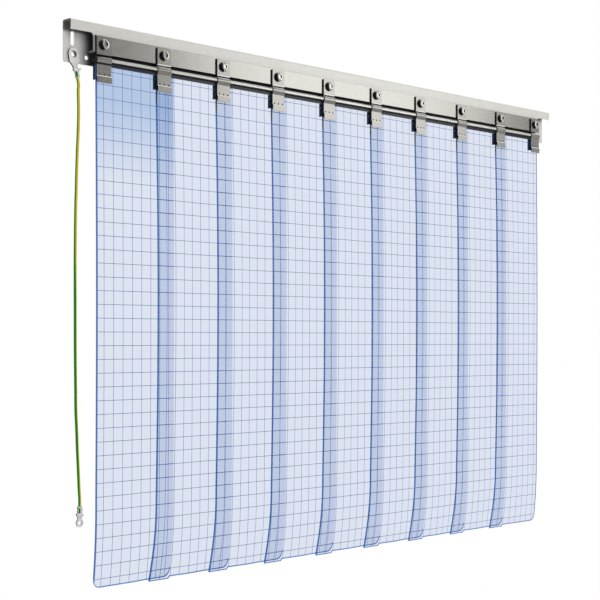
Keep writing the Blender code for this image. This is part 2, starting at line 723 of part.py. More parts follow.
def add_barrel(form, x, y, radius, high, low):
    """Solid upright round bar."""
    loops = []
    for z in (high, low):
        loops.append([form.verts.new((x + radius * math.cos(2 * math.pi * side / ROUND_SIDES),
                                      y + radius * math.sin(2 * math.pi * side / ROUND_SIDES), z))
                      for side in range(ROUND_SIDES)])
    form.faces.new(loops[0])
    form.faces.new(list(reversed(loops[1])))
    for side in range(ROUND_SIDES):
        following = (side + 1) % ROUND_SIDES
        form.faces.new((loops[0][side], loops[1][side], loops[1][following], loops[0][following]))


def upper_lug_outline():
    """Flat part of the upper lug: round over the hole, straight sides, then in to a narrow neck."""
    arc = [(EARTH_X + UPPER_TAB_RADIUS * math.cos(math.pi * step / HOOK_SIDES),
            EARTH_Z + UPPER_TAB_RADIUS * math.sin(math.pi * step / HOOK_SIDES), 0.0)
           for step in range(HOOK_SIDES + 1)]
    shoulder = EARTH_Z - UPPER_SHOULDER_DROP
    waist = EARTH_Z - UPPER_WAIST_DROP
    low = EARTH_Z - UPPER_BARREL_START - NECK_OVERLAP
    neck = NECK_WIDTH / 2
    return rounded_outline(arc + [
        (EARTH_X - UPPER_TAB_RADIUS, shoulder, UPPER_SHOULDER_ROUND),
        (EARTH_X - neck, waist, 0.0),
        (EARTH_X - neck, low, 0.0),
        (EARTH_X + neck, low, 0.0),
        (EARTH_X + neck, waist, 0.0),
        (EARTH_X + UPPER_TAB_RADIUS, shoulder, UPPER_SHOULDER_ROUND),
    ])


def build_upper_lug():
    """Crimp lug on the rail: flat tab, neck, ears and barrel, leaning a little to the right."""
    form = bmesh.new()
    add_prism(form, upper_lug_outline(), LUG_FRONT_Y, LUG_BACK_Y, "Y")
    lug = finish("earth_lug_upper", turned(form, (EARTH_X, EARTH_Z), -UPPER_TILT), LUG_TIN)
    barrel_top = EARTH_Z - UPPER_BARREL_START
    barrel_low = EARTH_Z - UPPER_BARREL_END
    ears = bmesh.new()
    add_prism(ears, box_outline(EARTH_X, UPPER_EAR_WIDTH / 2, barrel_top,
                                barrel_top - UPPER_EAR_HEIGHT), LEAD_Y - LUG_SHEET / 2,
              LEAD_Y + LUG_SHEET / 2, "Y")
    combine(lug, turned(ears, (EARTH_X, EARTH_Z), -UPPER_TILT), "UNION")
    barrel = bmesh.new()
    add_barrel(barrel, EARTH_X, LEAD_Y, BARREL_RADIUS, barrel_top + BARREL_RISE, barrel_low)
    combine(lug, turned(barrel, (EARTH_X, EARTH_Z), -UPPER_TILT), "UNION")
    hole = bmesh.new()
    add_round(hole, ((EYELET_RADIUS + GAP, LUG_FRONT_Y - OVERCUT),
                     (EYELET_RADIUS + GAP, LUG_BACK_Y + OVERCUT)), (EARTH_X, EARTH_Z))
    return combine(lug, hole, "DIFFERENCE")


def build_eyelet():
    """Tubular rivet that holds the upper lug on the rail and leaves an open bore."""
    flange_back = LUG_FRONT_Y - GAP
    form = bmesh.new()
    add_round(form, ((EYELET_FLANGE_RADIUS, flange_back - EYELET_FLANGE),
                     (EYELET_FLANGE_RADIUS, flange_back), (EYELET_RADIUS, flange_back),
                     (EYELET_RADIUS, -GAP)), (EARTH_X, EARTH_Z), bore=EYELET_BORE_RADIUS)
    return finish("earth_eyelet", form, EYELET_STEEL)


def lead_start():
    """Point and direction in which the lead leaves the upper lug."""
    lean = math.radians(UPPER_TILT)
    reach = UPPER_BARREL_END + GAP
    point = Vector((EARTH_X + reach * math.sin(lean), LEAD_Y, EARTH_Z - reach * math.cos(lean)))
    return point, Vector((math.sin(lean), 0.0, -math.cos(lean)))


def lead_knots():
    """Knots of the lead: straight out of the lug, then swaying down to the lower one."""
    start, way = lead_start()
    straight = start + way * LEAD_STRAIGHT
    end = Vector((LEAD_END_X, LEAD_Y, LEAD_END_Z + GAP))
    knots = [start, straight]
    for down, sway in LEAD_SHARES[1:-1]:
        point = start.lerp(end, down)
        knots.append(Vector((point.x - LEAD_SWAY * sway, LEAD_Y, point.z)))
    knots.append(end + Vector((0.0, 0.0, LEAD_STRAIGHT)))
    knots.append(end)
    return knots


def lead_points():
    """Even points along a smooth curve through the knots."""
    knots = lead_knots()
    ends = [knots[0] * 2 - knots[1]] + knots + [knots[-1] * 2 - knots[-2]]
    fine = []
    steps = HOOK_SIDES
    for before, first, second, after in zip(ends, ends[1:], ends[2:], ends[3:]):
        for step in range(steps):
            share = step / steps
            pull_in = (second - before) / 2
            pull_out = (after - first) / 2
            squared, cubed = share ** 2, share ** 3
            fine.append(first * (2 * cubed - 3 * squared + 1) + pull_in * (cubed - 2 * squared + share)
                        + second * (3 * squared - 2 * cubed) + pull_out * (cubed - squared))
    fine.append(knots[-1])
    lengths = [0.0]
    for first, second in zip(fine, fine[1:]):
        lengths.append(lengths[-1] + (second - first).length)
    points = []
    place = 0
    for index in range(LEAD_POINTS):
        target = lengths[-1] * index / (LEAD_POINTS - 1)
        while place < len(fine) - 2 and lengths[place + 1] < target:
            place += 1
        span = lengths[place + 1] - lengths[place]
        points.append(fine[place].lerp(fine[place + 1], (target - lengths[place]) / span))
    return points


def build_lead():
    """Insulated earth wire as a bevelled curve."""
    curve = bpy.data.curves.new("earth_lead", "CURVE")
    curve.dimensions = "3D"
    curve.bevel_depth = LEAD_RADIUS
    curve.bevel_resolution = EDGE_SIDES
    curve.use_fill_caps = True
    curve.resolution_u = 1
    spline = curve.splines.new("POLY")
    points = lead_points()
    spline.points.add(len(points) - 1)
    for item, point in zip(spline.points, points):
        item.co = (*point, 1.0)
    curve.materials.append(LEAD_VINYL)
    lead = bpy.data.objects.new("earth_lead", curve)
    bpy.context.scene.collection.objects.link(lead)
    return lead


def build_lower_lug():
    """Crimp lug on the free end of the lead."""
    low = LEAD_END_Z - LOWER_BARREL_LENGTH
    ring_z = LEAD_END_Z - LOWER_RING_DROP
    form = bmesh.new()
    add_round(form, ((LOWER_RING_RADIUS, LEAD_Y - LUG_SHEET / 2),
                     (LOWER_RING_RADIUS, LEAD_Y + LUG_SHEET / 2)), (LEAD_END_X, ring_z))
    lug = finish("earth_lug_lower", form, LUG_TIN)
    neck = bmesh.new()
    narrow = LOWER_NECK_TOP_WIDTH / 2
    wide = LOWER_NECK_LOW_WIDTH / 2
    add_prism(neck, [(LEAD_END_X - wide, ring_z), (LEAD_END_X + wide, ring_z),
                     (LEAD_END_X + narrow, low + LUG_SHEET), (LEAD_END_X - narrow, low + LUG_SHEET)],
              LEAD_Y - LUG_SHEET / 2 + GAP, LEAD_Y + LUG_SHEET / 2 - GAP, "Y")
    combine(lug, neck, "UNION")
    barrel = bmesh.new()
    add_barrel(barrel, LEAD_END_X, LEAD_Y, LOWER_BARREL_RADIUS, LEAD_END_Z, low)
    combine(lug, barrel, "UNION")
    hole = bmesh.new()
    add_round(hole, ((LOWER_RING_HOLE, LEAD_Y - LUG_SHEET), (LOWER_RING_HOLE, LEAD_Y + LUG_SHEET)),
              (LEAD_END_X, ring_z))
    return combine(lug, hole, "DIFFERENCE")


build_rail()
build_profile()
for index, bolt_x in enumerate(BOLT_X):
    build_tab(index + 1, bolt_x)
    build_bolt(index + 1, bolt_x)
    hinge = (bolt_x, BEAD_Y, BEAD_Z)
    build_clip(index + 1, bolt_x, hinge)
    build_rear_plate(index + 1, bolt_x, hinge)
for index in range(STRIP_COUNT):
    build_strip(index + 1, (BOLT_X[index], BEAD_Y, BEAD_Z))
build_eyelet()
build_upper_lug()
build_lead()
build_lower_lug()
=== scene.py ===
"""Clear strip curtain with pinch clips on a folded rail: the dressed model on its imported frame.

Lengths are in metres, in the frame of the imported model: X along the rail, minus Y to the viewer.
"""
import logging
import math
from dataclasses import dataclass, field
from enum import Enum
from typing import Callable, Sequence

import bmesh
import bpy
from mathutils import Matrix, Vector


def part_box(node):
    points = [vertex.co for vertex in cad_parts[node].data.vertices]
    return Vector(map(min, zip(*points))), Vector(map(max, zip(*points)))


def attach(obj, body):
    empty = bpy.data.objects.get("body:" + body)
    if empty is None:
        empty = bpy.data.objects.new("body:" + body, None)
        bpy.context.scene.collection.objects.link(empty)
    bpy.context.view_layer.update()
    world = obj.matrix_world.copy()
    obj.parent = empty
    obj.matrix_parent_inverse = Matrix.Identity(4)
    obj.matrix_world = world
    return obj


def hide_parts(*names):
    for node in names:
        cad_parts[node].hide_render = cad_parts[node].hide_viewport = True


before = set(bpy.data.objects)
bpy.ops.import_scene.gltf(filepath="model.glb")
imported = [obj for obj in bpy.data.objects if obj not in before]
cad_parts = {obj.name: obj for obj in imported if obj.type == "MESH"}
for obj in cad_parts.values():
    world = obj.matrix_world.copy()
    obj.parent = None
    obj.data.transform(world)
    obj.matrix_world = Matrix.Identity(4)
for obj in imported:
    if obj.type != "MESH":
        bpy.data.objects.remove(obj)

LOG = logging.getLogger("strip_curtain")
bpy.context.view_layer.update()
Point = tuple[float, float, float]
Colour = tuple[float, float, float]
FaceTest = Callable[[Vector, Vector], bool]
WHITE = (1.0, 1.0, 1.0, 1.0)
# Compass direction in degrees and level of the white room as gloss sees it
ROOM_FLAGS: tuple[tuple[float, float], ...] = (
    (-180.0, 0.06), (-95.0, 0.06), (-84.0, 0.75), (-72.0, 0.75), (-62.0, 0.20),
    (-28.0, 0.20), (-16.0, 0.95), (110.0, 0.95), (135.0, 0.50), (150.0, 0.06), (180.0, 0.06))


class Slot(Enum):
    """The record's material slots."""

    RAIL = "rail_steel"
    PROFILE = "profile_steel"
    TAB = "tab_steel"
    BOLT = "bolt_steel"
    CLIP = "clip_steel"
    REAR_PLATE = "rear_plate_steel"
    VINYL = "clear_vinyl"
    LUG = "lug_tin"
    EYELET = "eyelet_steel"
    LEAD = "lead_vinyl"


class Side(Enum):
    """Which face of a strip a finish is for."""

    PRINTED = "printed"
    PLAIN = "plain"
    EDGE = "edge"


# ---- editing


def deselect() -> None:
    """Leave edit mode and select nothing."""
    if bpy.context.object and bpy.context.object.mode != "OBJECT":
        bpy.ops.object.mode_set(mode="OBJECT")
    bpy.ops.object.select_all(action="DESELECT")


def activate(piece: bpy.types.Object) -> None:
    """Make one object the only selected and active one.

    Args:
        piece: the object to work on.
    """
    deselect()
    bpy.context.view_layer.objects.active = piece
    piece.select_set(True)


def start_piece(name: str) -> bpy.types.Object:
    """Name the primitive that was just added and bring its place into its mesh.

    Args:
        name: name of the piece.

    Returns:
        The piece, at the origin, unturned and unscaled.
    """
    piece = bpy.context.object
    piece.name = name
    piece.data.name = name
    bpy.ops.object.transform_apply(location=True, rotation=True, scale=True)
    return piece


def enter_edit(piece: bpy.types.Object, kind: str) -> bmesh.types.BMesh:
    """Enter edit mode with nothing selected.

    Args:
        piece: the mesh object.
        kind: what is picked, FACE or EDGE.

    Returns:
        The mesh in edit mode.
    """
    activate(piece)
    bpy.ops.object.mode_set(mode="EDIT")
    bpy.ops.mesh.select_mode(type=kind)
    bpy.ops.mesh.select_all(action="DESELECT")
    return bmesh.from_edit_mesh(piece.data)


def pick_faces(piece: bpy.types.Object, test: FaceTest) -> None:
    """Select the faces whose centre and normal pass a test, and enter edit mode.

    Args:
        piece: the mesh object.
        test: takes the face's centre and normal.
    """
    form = enter_edit(piece, "FACE")
    for face in form.faces:
        if test(face.calc_center_median(), face.normal):
            face.select_set(True)
    bmesh.update_edit_mesh(piece.data)


def pick_edges(piece: bpy.types.Object, test: Callable[[Vector, Vector], bool]) -> None:
    """Select the edges whose two ends pass a test, and enter edit mode.

    Args:
        piece: the mesh object.
        test: takes the two ends of the edge.
    """
    form = enter_edit(piece, "EDGE")
    for edge in form.edges:
        if test(edge.verts[0].co, edge.verts[1].co):
            edge.select_set(True)
    bmesh.update_edit_mesh(piece.data)


def edit_all(piece: bpy.types.Object) -> None:
    """Enter edit mode with everything selected.

    Args:
        piece: the mesh object.
    """
    activate(piece)
    bpy.ops.object.mode_set(mode="EDIT")
    bpy.ops.mesh.select_all(action="SELECT")


def leave_edit() -> None:
    """Go back to object mode."""
    bpy.ops.object.mode_set(mode="OBJECT")


def apply_modifiers(piece: bpy.types.Object) -> None:
    """Apply every modifier of a piece in order.

    Args:
        piece: the mesh object.
    """
    activate(piece)
    for modifier in list(piece.modifiers):
        bpy.ops.object.modifier_apply(modifier=modifier.name)


def soften(piece: bpy.types.Object, width: float, segments: int = 2, angle: float = 35.0,
           crisp: float = 0.0) -> None:
    """Round a piece's hard edges and shade it smooth, with its flat faces kept flat.

    Args:
        piece: the mesh object.
        width: width of the bevel.
        segments: steps across the bevel.
        angle: edges sharper than this are rounded, in degrees.
        crisp: edges sharper than this stay sharp in the shading, or 0 for the same angle.
    """
    bevel = piece.modifiers.new("soften", "BEVEL")
    bevel.width = width
    bevel.segments = segments
    bevel.limit_method = "ANGLE"
    bevel.angle_limit = math.radians(angle)
    bevel.use_clamp_overlap = True
    apply_modifiers(piece)
    activate(piece)
    bpy.ops.object.shade_smooth_by_angle(angle=math.radians(crisp or angle))
    flat = piece.modifiers.new("flat_faces", "WEIGHTED_NORMAL")
    flat.keep_sharp = True
    apply_modifiers(piece)


def combine(piece: bpy.types.Object, tool: bpy.types.Object, operation: str) -> None:
    """Apply a Boolean with another object and remove that object.

    Args:
        piece: the object that is kept.
        tool: the object that cuts or joins.
        operation: DIFFERENCE or UNION.
    """
    modifier = piece.modifiers.new("combine", "BOOLEAN")
    modifier.operation = operation
    modifier.solver = "EXACT"
    modifier.object = tool
    apply_modifiers(piece)
    bpy.data.objects.remove(tool, do_unlink=True)


def fix_normals(piece: bpy.types.Object) -> None:
    """Merge doubles and turn every face outwards.

    Args:
        piece: the mesh object.
    """
    edit_all(piece)
    bpy.ops.mesh.remove_doubles(threshold=1e-6)
    bpy.ops.mesh.normals_make_consistent(inside=False)
    leave_edit()


def copy_piece(piece: bpy.types.Object, name: str, shift: Point) -> bpy.types.Object:
    """Copy a piece with its own mesh, moved in its mesh.

    Args:
        piece: the piece to copy.
        name: name of the copy.
        shift: how far the copy's mesh is moved.

    Returns:
        The copy.
    """
    twin = piece.copy()
    twin.data = piece.data.copy()
    twin.name = name
    twin.data.name = name
    twin.data.transform(Matrix.Translation(shift))
    bpy.context.scene.collection.objects.link(twin)
    return twin


def add_block(name: str, size: Point, place: Point) -> bpy.types.Object:
    """Block from a cube primitive.

    Args:
        name: name of the block.
        size: its size along X, Y and Z.
        place: its centre.

    Returns:
        The block.
    """
    deselect()
    bpy.ops.mesh.primitive_cube_add(size=1.0, location=place, scale=size)
    return start_piece(name)


def add_bar(name: str, radius: float, depth: float, place: Point, along_y: bool = True,
            sides: int = 48) -> bpy.types.Object:
    """Round bar from a cylinder primitive.

    Args:
        name: name of the bar.
        radius: its radius.
        depth: its length.
        place: its centre.
        along_y: True if it lies along Y, False if it is upright.
        sides: number of its sides.

    Returns:
        The bar.
    """
    deselect()
    turn = (math.pi / 2, 0.0, 0.0) if along_y else (0.0, 0.0, 0.0)
    bpy.ops.mesh.primitive_cylinder_add(vertices=sides, radius=radius, depth=depth,
                                        location=place, rotation=turn)
    return start_piece(name)


def seat(piece: bpy.types.Object, body: str, nodes: Sequence[str]) -> None:
    """Ride a piece on a body in place of the CAD nodes it stands for.

    Args:
        piece: the finished piece.
        body: name of the body.
        nodes: CAD nodes that it replaces.
    """
    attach(piece, body)
    if nodes:
        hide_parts(*nodes)


def is_cut_side(centre: Vector, normal: Vector) -> bool:
    """True for a face that a cut across X left."""
    return abs(normal.x) > 0.9


def darken(piece: bpy.types.Object, finish: bpy.types.Material, test: FaceTest) -> None:
    """Give the faces that pass a test a second finish.

    Args:
        piece: the mesh object.
        finish: the finish of those faces.
        test: takes the face's centre and normal.
    """
    mesh = piece.data
    if finish.name not in mesh.materials:
        mesh.materials.append(finish)
    index = mesh.materials.find(finish.name)
    for face in mesh.polygons:
        if test(face.center, face.normal):
            face.material_index = index


# ---- shader nodes


def feed(tree: bpy.types.NodeTree, socket: bpy.types.NodeSocket,
         value: bpy.types.NodeSocket | float | tuple[float, ...]) -> None:
    """Link a socket to another one, or give it a plain value.

    Args:
        tree: the nodes.
        socket: the input that is fed.
        value: an output, a number or a colour with its alpha.
    """
    if isinstance(value, bpy.types.NodeSocket):
        tree.links.new(value, socket)
    else:
        socket.default_value = value


def opaque(colour: Colour) -> tuple[float, ...]:
    """A colour with full alpha."""
    return (*colour, 1.0)


def math_node(tree: bpy.types.NodeTree, operation: str,
              *values: bpy.types.NodeSocket | float) -> bpy.types.NodeSocket:
    """Math node on outputs or numbers.

    Args:
        tree: the nodes.
        operation: what it does.
        values: its one or two inputs.

    Returns:
        Its output.
    """
    node = tree.nodes.new("ShaderNodeMath")
    node.operation = operation
    for socket, value in zip(node.inputs, values):
        feed(tree, socket, value)
    return node.outputs[0]


def mix_node(tree: bpy.types.NodeTree, factor: bpy.types.NodeSocket,
             first: bpy.types.NodeSocket | float | tuple[float, ...],
             second: bpy.types.NodeSocket | float | tuple[float, ...],
             colour: bool = False) -> bpy.types.NodeSocket:
    """Mix node on numbers or colours.

    Args:
        tree: the nodes.
        factor: share of the second value.
        first: the first value.
        second: the second value.
        colour: True where the values are colours.

    Returns:
        Its output.
    """
    node = tree.nodes.new("ShaderNodeMix")
    if colour:
        node.data_type = "RGBA"
    for label, value in (("Factor", factor), ("A", first), ("B", second)):
        feed(tree, node.inputs[label], value)
    return node.outputs["Result"]


def map_node(tree: bpy.types.NodeTree, value: bpy.types.NodeSocket,
             span: tuple[float, float] = (0.0, 1.0), result: tuple[float, float] = (0.0, 1.0),
             smooth: bool = False) -> bpy.types.NodeSocket:
    """Map Range node.

    Args:
        tree: the nodes.
        value: the mapped value.
        span: the two ends of its range.
        result: what they become.
        smooth: True for a smooth step.

    Returns:
        Its output.
    """
    node = tree.nodes.new("ShaderNodeMapRange")
    if smooth:
        node.interpolation_type = "SMOOTHSTEP"
    for label, number in zip(("From Min", "From Max", "To Min", "To Max"), (*span, *result)):
        node.inputs[label].default_value = number
    tree.links.new(value, node.inputs["Value"])
    return node.outputs["Result"]


def ramp_node(tree: bpy.types.NodeTree, value: bpy.types.NodeSocket,
              stops: Sequence[tuple[float, Colour]], stepped: bool = False
              ) -> bpy.types.NodeSocket:
    """Color Ramp node.

    Args:
        tree: the nodes.
        value: the place along the ramp.
        stops: place and colour of each stop, in rising order.
        stepped: True for hard changes of colour.

    Returns:
        Its output.
    """
    node = tree.nodes.new("ShaderNodeValToRGB")
    if stepped:
        node.color_ramp.interpolation = "CONSTANT"
    made = node.color_ramp.elements
    for index, (position, colour) in enumerate(stops):
        stop = made[index] if index < 2 else made.new(position)
        stop.position = position
        stop.color = opaque(colour)
    tree.links.new(value, node.inputs["Fac"])
    return node.outputs["Color"]


def noise_node(tree: bpy.types.NodeTree, vector: bpy.types.NodeSocket,
               scale: bpy.types.NodeSocket, detail: float) -> bpy.types.NodeSocket:
    """Noise Texture node.

    Args:
        tree: the nodes.
        vector: where it is read.
        scale: its scale.
        detail: its number of octaves.

    Returns:
        Its level.
    """
    node = tree.nodes.new("ShaderNodeTexNoise")
    node.inputs["Detail"].default_value = detail
    tree.links.new(vector, node.inputs["Vector"])
    tree.links.new(scale, node.inputs["Scale"])
    return node.outputs["Fac"]


def stretch_node(tree: bpy.types.NodeTree, vector: bpy.types.NodeSocket,
                 scale: Point) -> bpy.types.NodeSocket:
    """Mapping node that stretches a pattern.

    Args:
        tree: the nodes.
        vector: where the pattern is read.
        scale: scale along each axis.

    Returns:
        The stretched place.
    """
    node = tree.nodes.new("ShaderNodeMapping")
    node.inputs["Scale"].default_value = scale
    tree.links.new(vector, node.inputs["Vector"])
    return node.outputs["Vector"]


def bump_node(tree: bpy.types.NodeTree, height: bpy.types.NodeSocket, distance: float,
              strength: float) -> bpy.types.NodeSocket:
    """Bump node.

    Args:
        tree: the nodes.
        height: the relief.
        distance: its depth in metres.
        strength: its strength.

    Returns:
        The normal.
    """
    node = tree.nodes.new("ShaderNodeBump")
    node.inputs["Distance"].default_value = distance
    node.inputs["Strength"].default_value = strength
    tree.links.new(height, node.inputs["Height"])
    return node.outputs["Normal"]


def split_node(tree: bpy.types.NodeTree,
               vector: bpy.types.NodeSocket) -> dict[str, bpy.types.NodeSocket]:
    """Separate XYZ node.

    Args:
        tree: the nodes.
        vector: the place that is split.

    Returns:
        Its outputs by name.
    """
    node = tree.nodes.new("ShaderNodeSeparateXYZ")
    tree.links.new(vector, node.inputs["Vector"])
    return {output.name: output for output in node.outputs}


def place_node(tree: bpy.types.NodeTree, source: str) -> bpy.types.NodeSocket:
    """One output of a Texture Coordinate node."""
    return tree.nodes.new("ShaderNodeTexCoord").outputs[source]


def place_group(tree: bpy.types.NodeTree, group: bpy.types.NodeTree, source: str,
                values: dict[str, float]) -> dict[str, bpy.types.NodeSocket]:
    """Put a shared group in a material.

    Args:
        tree: the material's nodes.
        group: the group.
        source: output of Texture Coordinate that feeds its Vector.
        values: values of its number inputs.

    Returns:
        Its outputs by name.
    """
    node = tree.nodes.new("ShaderNodeGroup")
    node.node_tree = group
    tree.links.new(place_node(tree, source), node.inputs["Vector"])
    for label, value in values.items():
        node.inputs[label].default_value = value
    return {output.name: output for output in node.outputs}


class ShaderKit:
    """Shader node groups that several finishes share, each built once."""

    def __init__(self) -> None:
        """Build the groups."""
        self.grain = self._grain_group()
        self.grid = self._grid_group()
        self.waves = self._wave_group()
        self.room = self._room_group()

    @staticmethod
    def _new_group(name: str, numbers: dict[str, float], outputs: Sequence[str]
                   ) -> tuple[bpy.types.NodeTree, bpy.types.Node, bpy.types.Node]:
        """Empty group with a Vector input, number inputs and number outputs.

        Args:
            name: name of the group.
            numbers: default of each number input.
            outputs: names of the outputs.

        Returns:
            The group, its input node and its output node.
        """
        group = bpy.data.node_groups.new(name, "ShaderNodeTree")
        group.interface.new_socket("Vector", in_out="INPUT", socket_type="NodeSocketVector")
        for label, default in numbers.items():
            socket = group.interface.new_socket(label, in_out="INPUT",
                                                socket_type="NodeSocketFloat")
            socket.default_value = default
        for label in outputs:
            group.interface.new_socket(label, in_out="OUTPUT", socket_type="NodeSocketFloat")
        return group, group.nodes.new("NodeGroupInput"), group.nodes.new("NodeGroupOutput")

    def _grain_group(self) -> bpy.types.NodeTree:
        """Brushed grain: fine streaks along X over broad soft patches.

        Returns:
            The group.
        """
        group, source, result = self._new_group(
            "brushed_grain", {"Streak Scale": 900.0, "Patch Scale": 14.0, "Patch Share": 0.5},
            ("Mask", "Streaks"))
        given = source.outputs
        along = stretch_node(group, given["Vector"], (0.05, 1.0, 1.0))
        streaks = noise_node(group, along, given["Streak Scale"], 3.0)
        patches = noise_node(group, given["Vector"], given["Patch Scale"], 4.0)
        mask = mix_node(group, given["Patch Share"], streaks, patches)
        group.links.new(mask, result.inputs["Mask"])
        group.links.new(streaks, result.inputs["Streaks"])
        return group

    def _grid_group(self) -> bpy.types.NodeTree:
        """Printed grid: thin lines at a pitch across and down a strip's own map.

        Returns:
            The group.
        """
        group, source, result = self._new_group(
            "printed_grid", {"Pitch Across": 0.022, "Pitch Down": 0.025, "Start Across": 0.017,
                             "Start Down": 0.0138, "Line": 0.001}, ("Mask", "Crossings"))
        given = source.outputs
        spot = split_node(group, given["Vector"])
        half = math_node(group, "MULTIPLY", given["Line"], 0.5)
        lines, near = [], []
        for axis, way in (("X", "Across"), ("Y", "Down")):
            pitch = given[f"Pitch {way}"]
            moved = math_node(group, "SUBTRACT", spot[axis], given[f"Start {way}"])
            cells = math_node(group, "DIVIDE", moved, pitch)
            part = math_node(group, "FRACT", math_node(group, "ADD", cells, 0.5))
            centred = math_node(group, "ABSOLUTE", math_node(group, "SUBTRACT", part, 0.5))
            reach = math_node(group, "MULTIPLY", centred, pitch)
            lines.append(math_node(group, "LESS_THAN", reach, half))
            near.append(math_node(group, "LESS_THAN", reach, given["Line"]))
        group.links.new(math_node(group, "MAXIMUM", *lines), result.inputs["Mask"])
        group.links.new(math_node(group, "MULTIPLY", *near), result.inputs["Crossings"])
        return group

    def _wave_group(self) -> bpy.types.NodeTree:
        """Slow waves for the skin of the strips.

        Returns:
            The group.
        """
        group, source, result = self._new_group("slow_waves", {"Scale": 6.0}, ("Height",))
        tall = stretch_node(group, source.outputs["Vector"], (1.0, 1.0, 0.35))
        height = noise_node(group, tall, source.outputs["Scale"], 2.0)
        group.links.new(height, result.inputs["Height"])
        return group

    def _room_group(self) -> bpy.types.NodeTree:
        """Level of the white room and its dark flags, by the compass direction of a vector.

        Returns:
            The group.
        """
        group, source, result = self._new_group("room_flags", {}, ("Level",))
        way = split_node(group, source.outputs["Vector"])
        turn = math_node(group, "ARCTAN2", way["Y"], way["X"])
        share = map_node(group, turn, (-math.pi, math.pi))
        level = ramp_node(group, share, [(degrees / 360.0 + 0.5, (level,) * 3)
                                         for degrees, level in ROOM_FLAGS])
        group.links.new(level, result.inputs["Level"])
        return group


KIT: list[ShaderKit] = []


def kit() -> ShaderKit:
    """The shared groups, built at first use.

    Returns:
        The groups.
    """
    if not KIT:
        KIT.append(ShaderKit())
    return KIT[0]


def new_material(name: str) -> tuple[bpy.types.Material, bpy.types.Node]:
    """Material with a Principled shader.

    Args:
        name: name of the material.

    Returns:
        The material and its shader node.
    """
    material = bpy.data.materials.new(name)
    material.use_nodes = True
    return material, material.node_tree.nodes["Principled BSDF"]


@dataclass(frozen=True)
class SteelFinish:
    """Brushed or rolled steel with fine grain, with painted shade inside the rail's channel in place of
    its shadow.
    """

    name: str
    dark: Colour
    light: Colour
    rough_low: float = 0.28
    rough_high: float = 0.40
    streak_scale: float = 900.0
    patch_scale: float = 380.0
    patch_share: float = 0.6
    bump: float = 0.00002
    metal: float = 1.0
    # where along the rail the painted shade fades out, by distance from its middle
    shade_ends: tuple[float, float] | None = None
    # painted shade: near-black colour of the rail's channel, in place of its shadow
    channel_shade: Colour = (0.036, 0.037, 0.042)
    under_flange: tuple[float, float] = (0.0225, 0.0145)
    # painted shade: grey under the rail's top flange
    under_flange_shade: Colour = (0.13, 0.128, 0.120)
    grain_span: tuple[float, float] = (0.3, 0.7)

    def build(self) -> bpy.types.Material:
        """Make the material.

        Returns:
            The material.
        """
        material, shader = new_material(self.name)
        tree = material.node_tree
        grain = place_group(tree, kit().grain, "Object",
                            {"Streak Scale": self.streak_scale, "Patch Scale": self.patch_scale,
                             "Patch Share": self.patch_share})
        low, high = self.grain_span
        colour = ramp_node(tree, grain["Mask"], ((low, self.dark), (high, self.light)))
        if self.shade_ends:
            colour = self._painted_channel_shade(tree, colour)
        rough = map_node(tree, grain["Streaks"], self.grain_span,
                         (self.rough_low, self.rough_high))
        tree.links.new(colour, shader.inputs["Base Color"])
        tree.links.new(rough, shader.inputs["Roughness"])
        tree.links.new(bump_node(tree, grain["Streaks"], self.bump, 0.5),
                       shader.inputs["Normal"])
        shader.inputs["Metallic"].default_value = self.metal
        return material

    def _painted_channel_shade(self, tree: bpy.types.NodeTree,
                colour: bpy.types.NodeSocket) -> bpy.types.NodeSocket:
        """Painted shade: near black along the middle of the rail and grey under its flange, clean at its
        ends.

        Args:
            tree: the material's nodes.
            colour: the clean colour.

        Returns:
            The colour with the painted shade.
        """
        place = split_node(tree, place_node(tree, "Object"))
        far = math_node(tree, "ABSOLUTE", place["X"])
        ends = map_node(tree, far, self.shade_ends, smooth=True)
        low = map_node(tree, place["Z"], self.under_flange, smooth=True)
        colour = mix_node(tree, low, opaque(self.under_flange_shade), colour, colour=True)
        return mix_node(tree, ends, opaque(self.channel_shade), colour, colour=True)


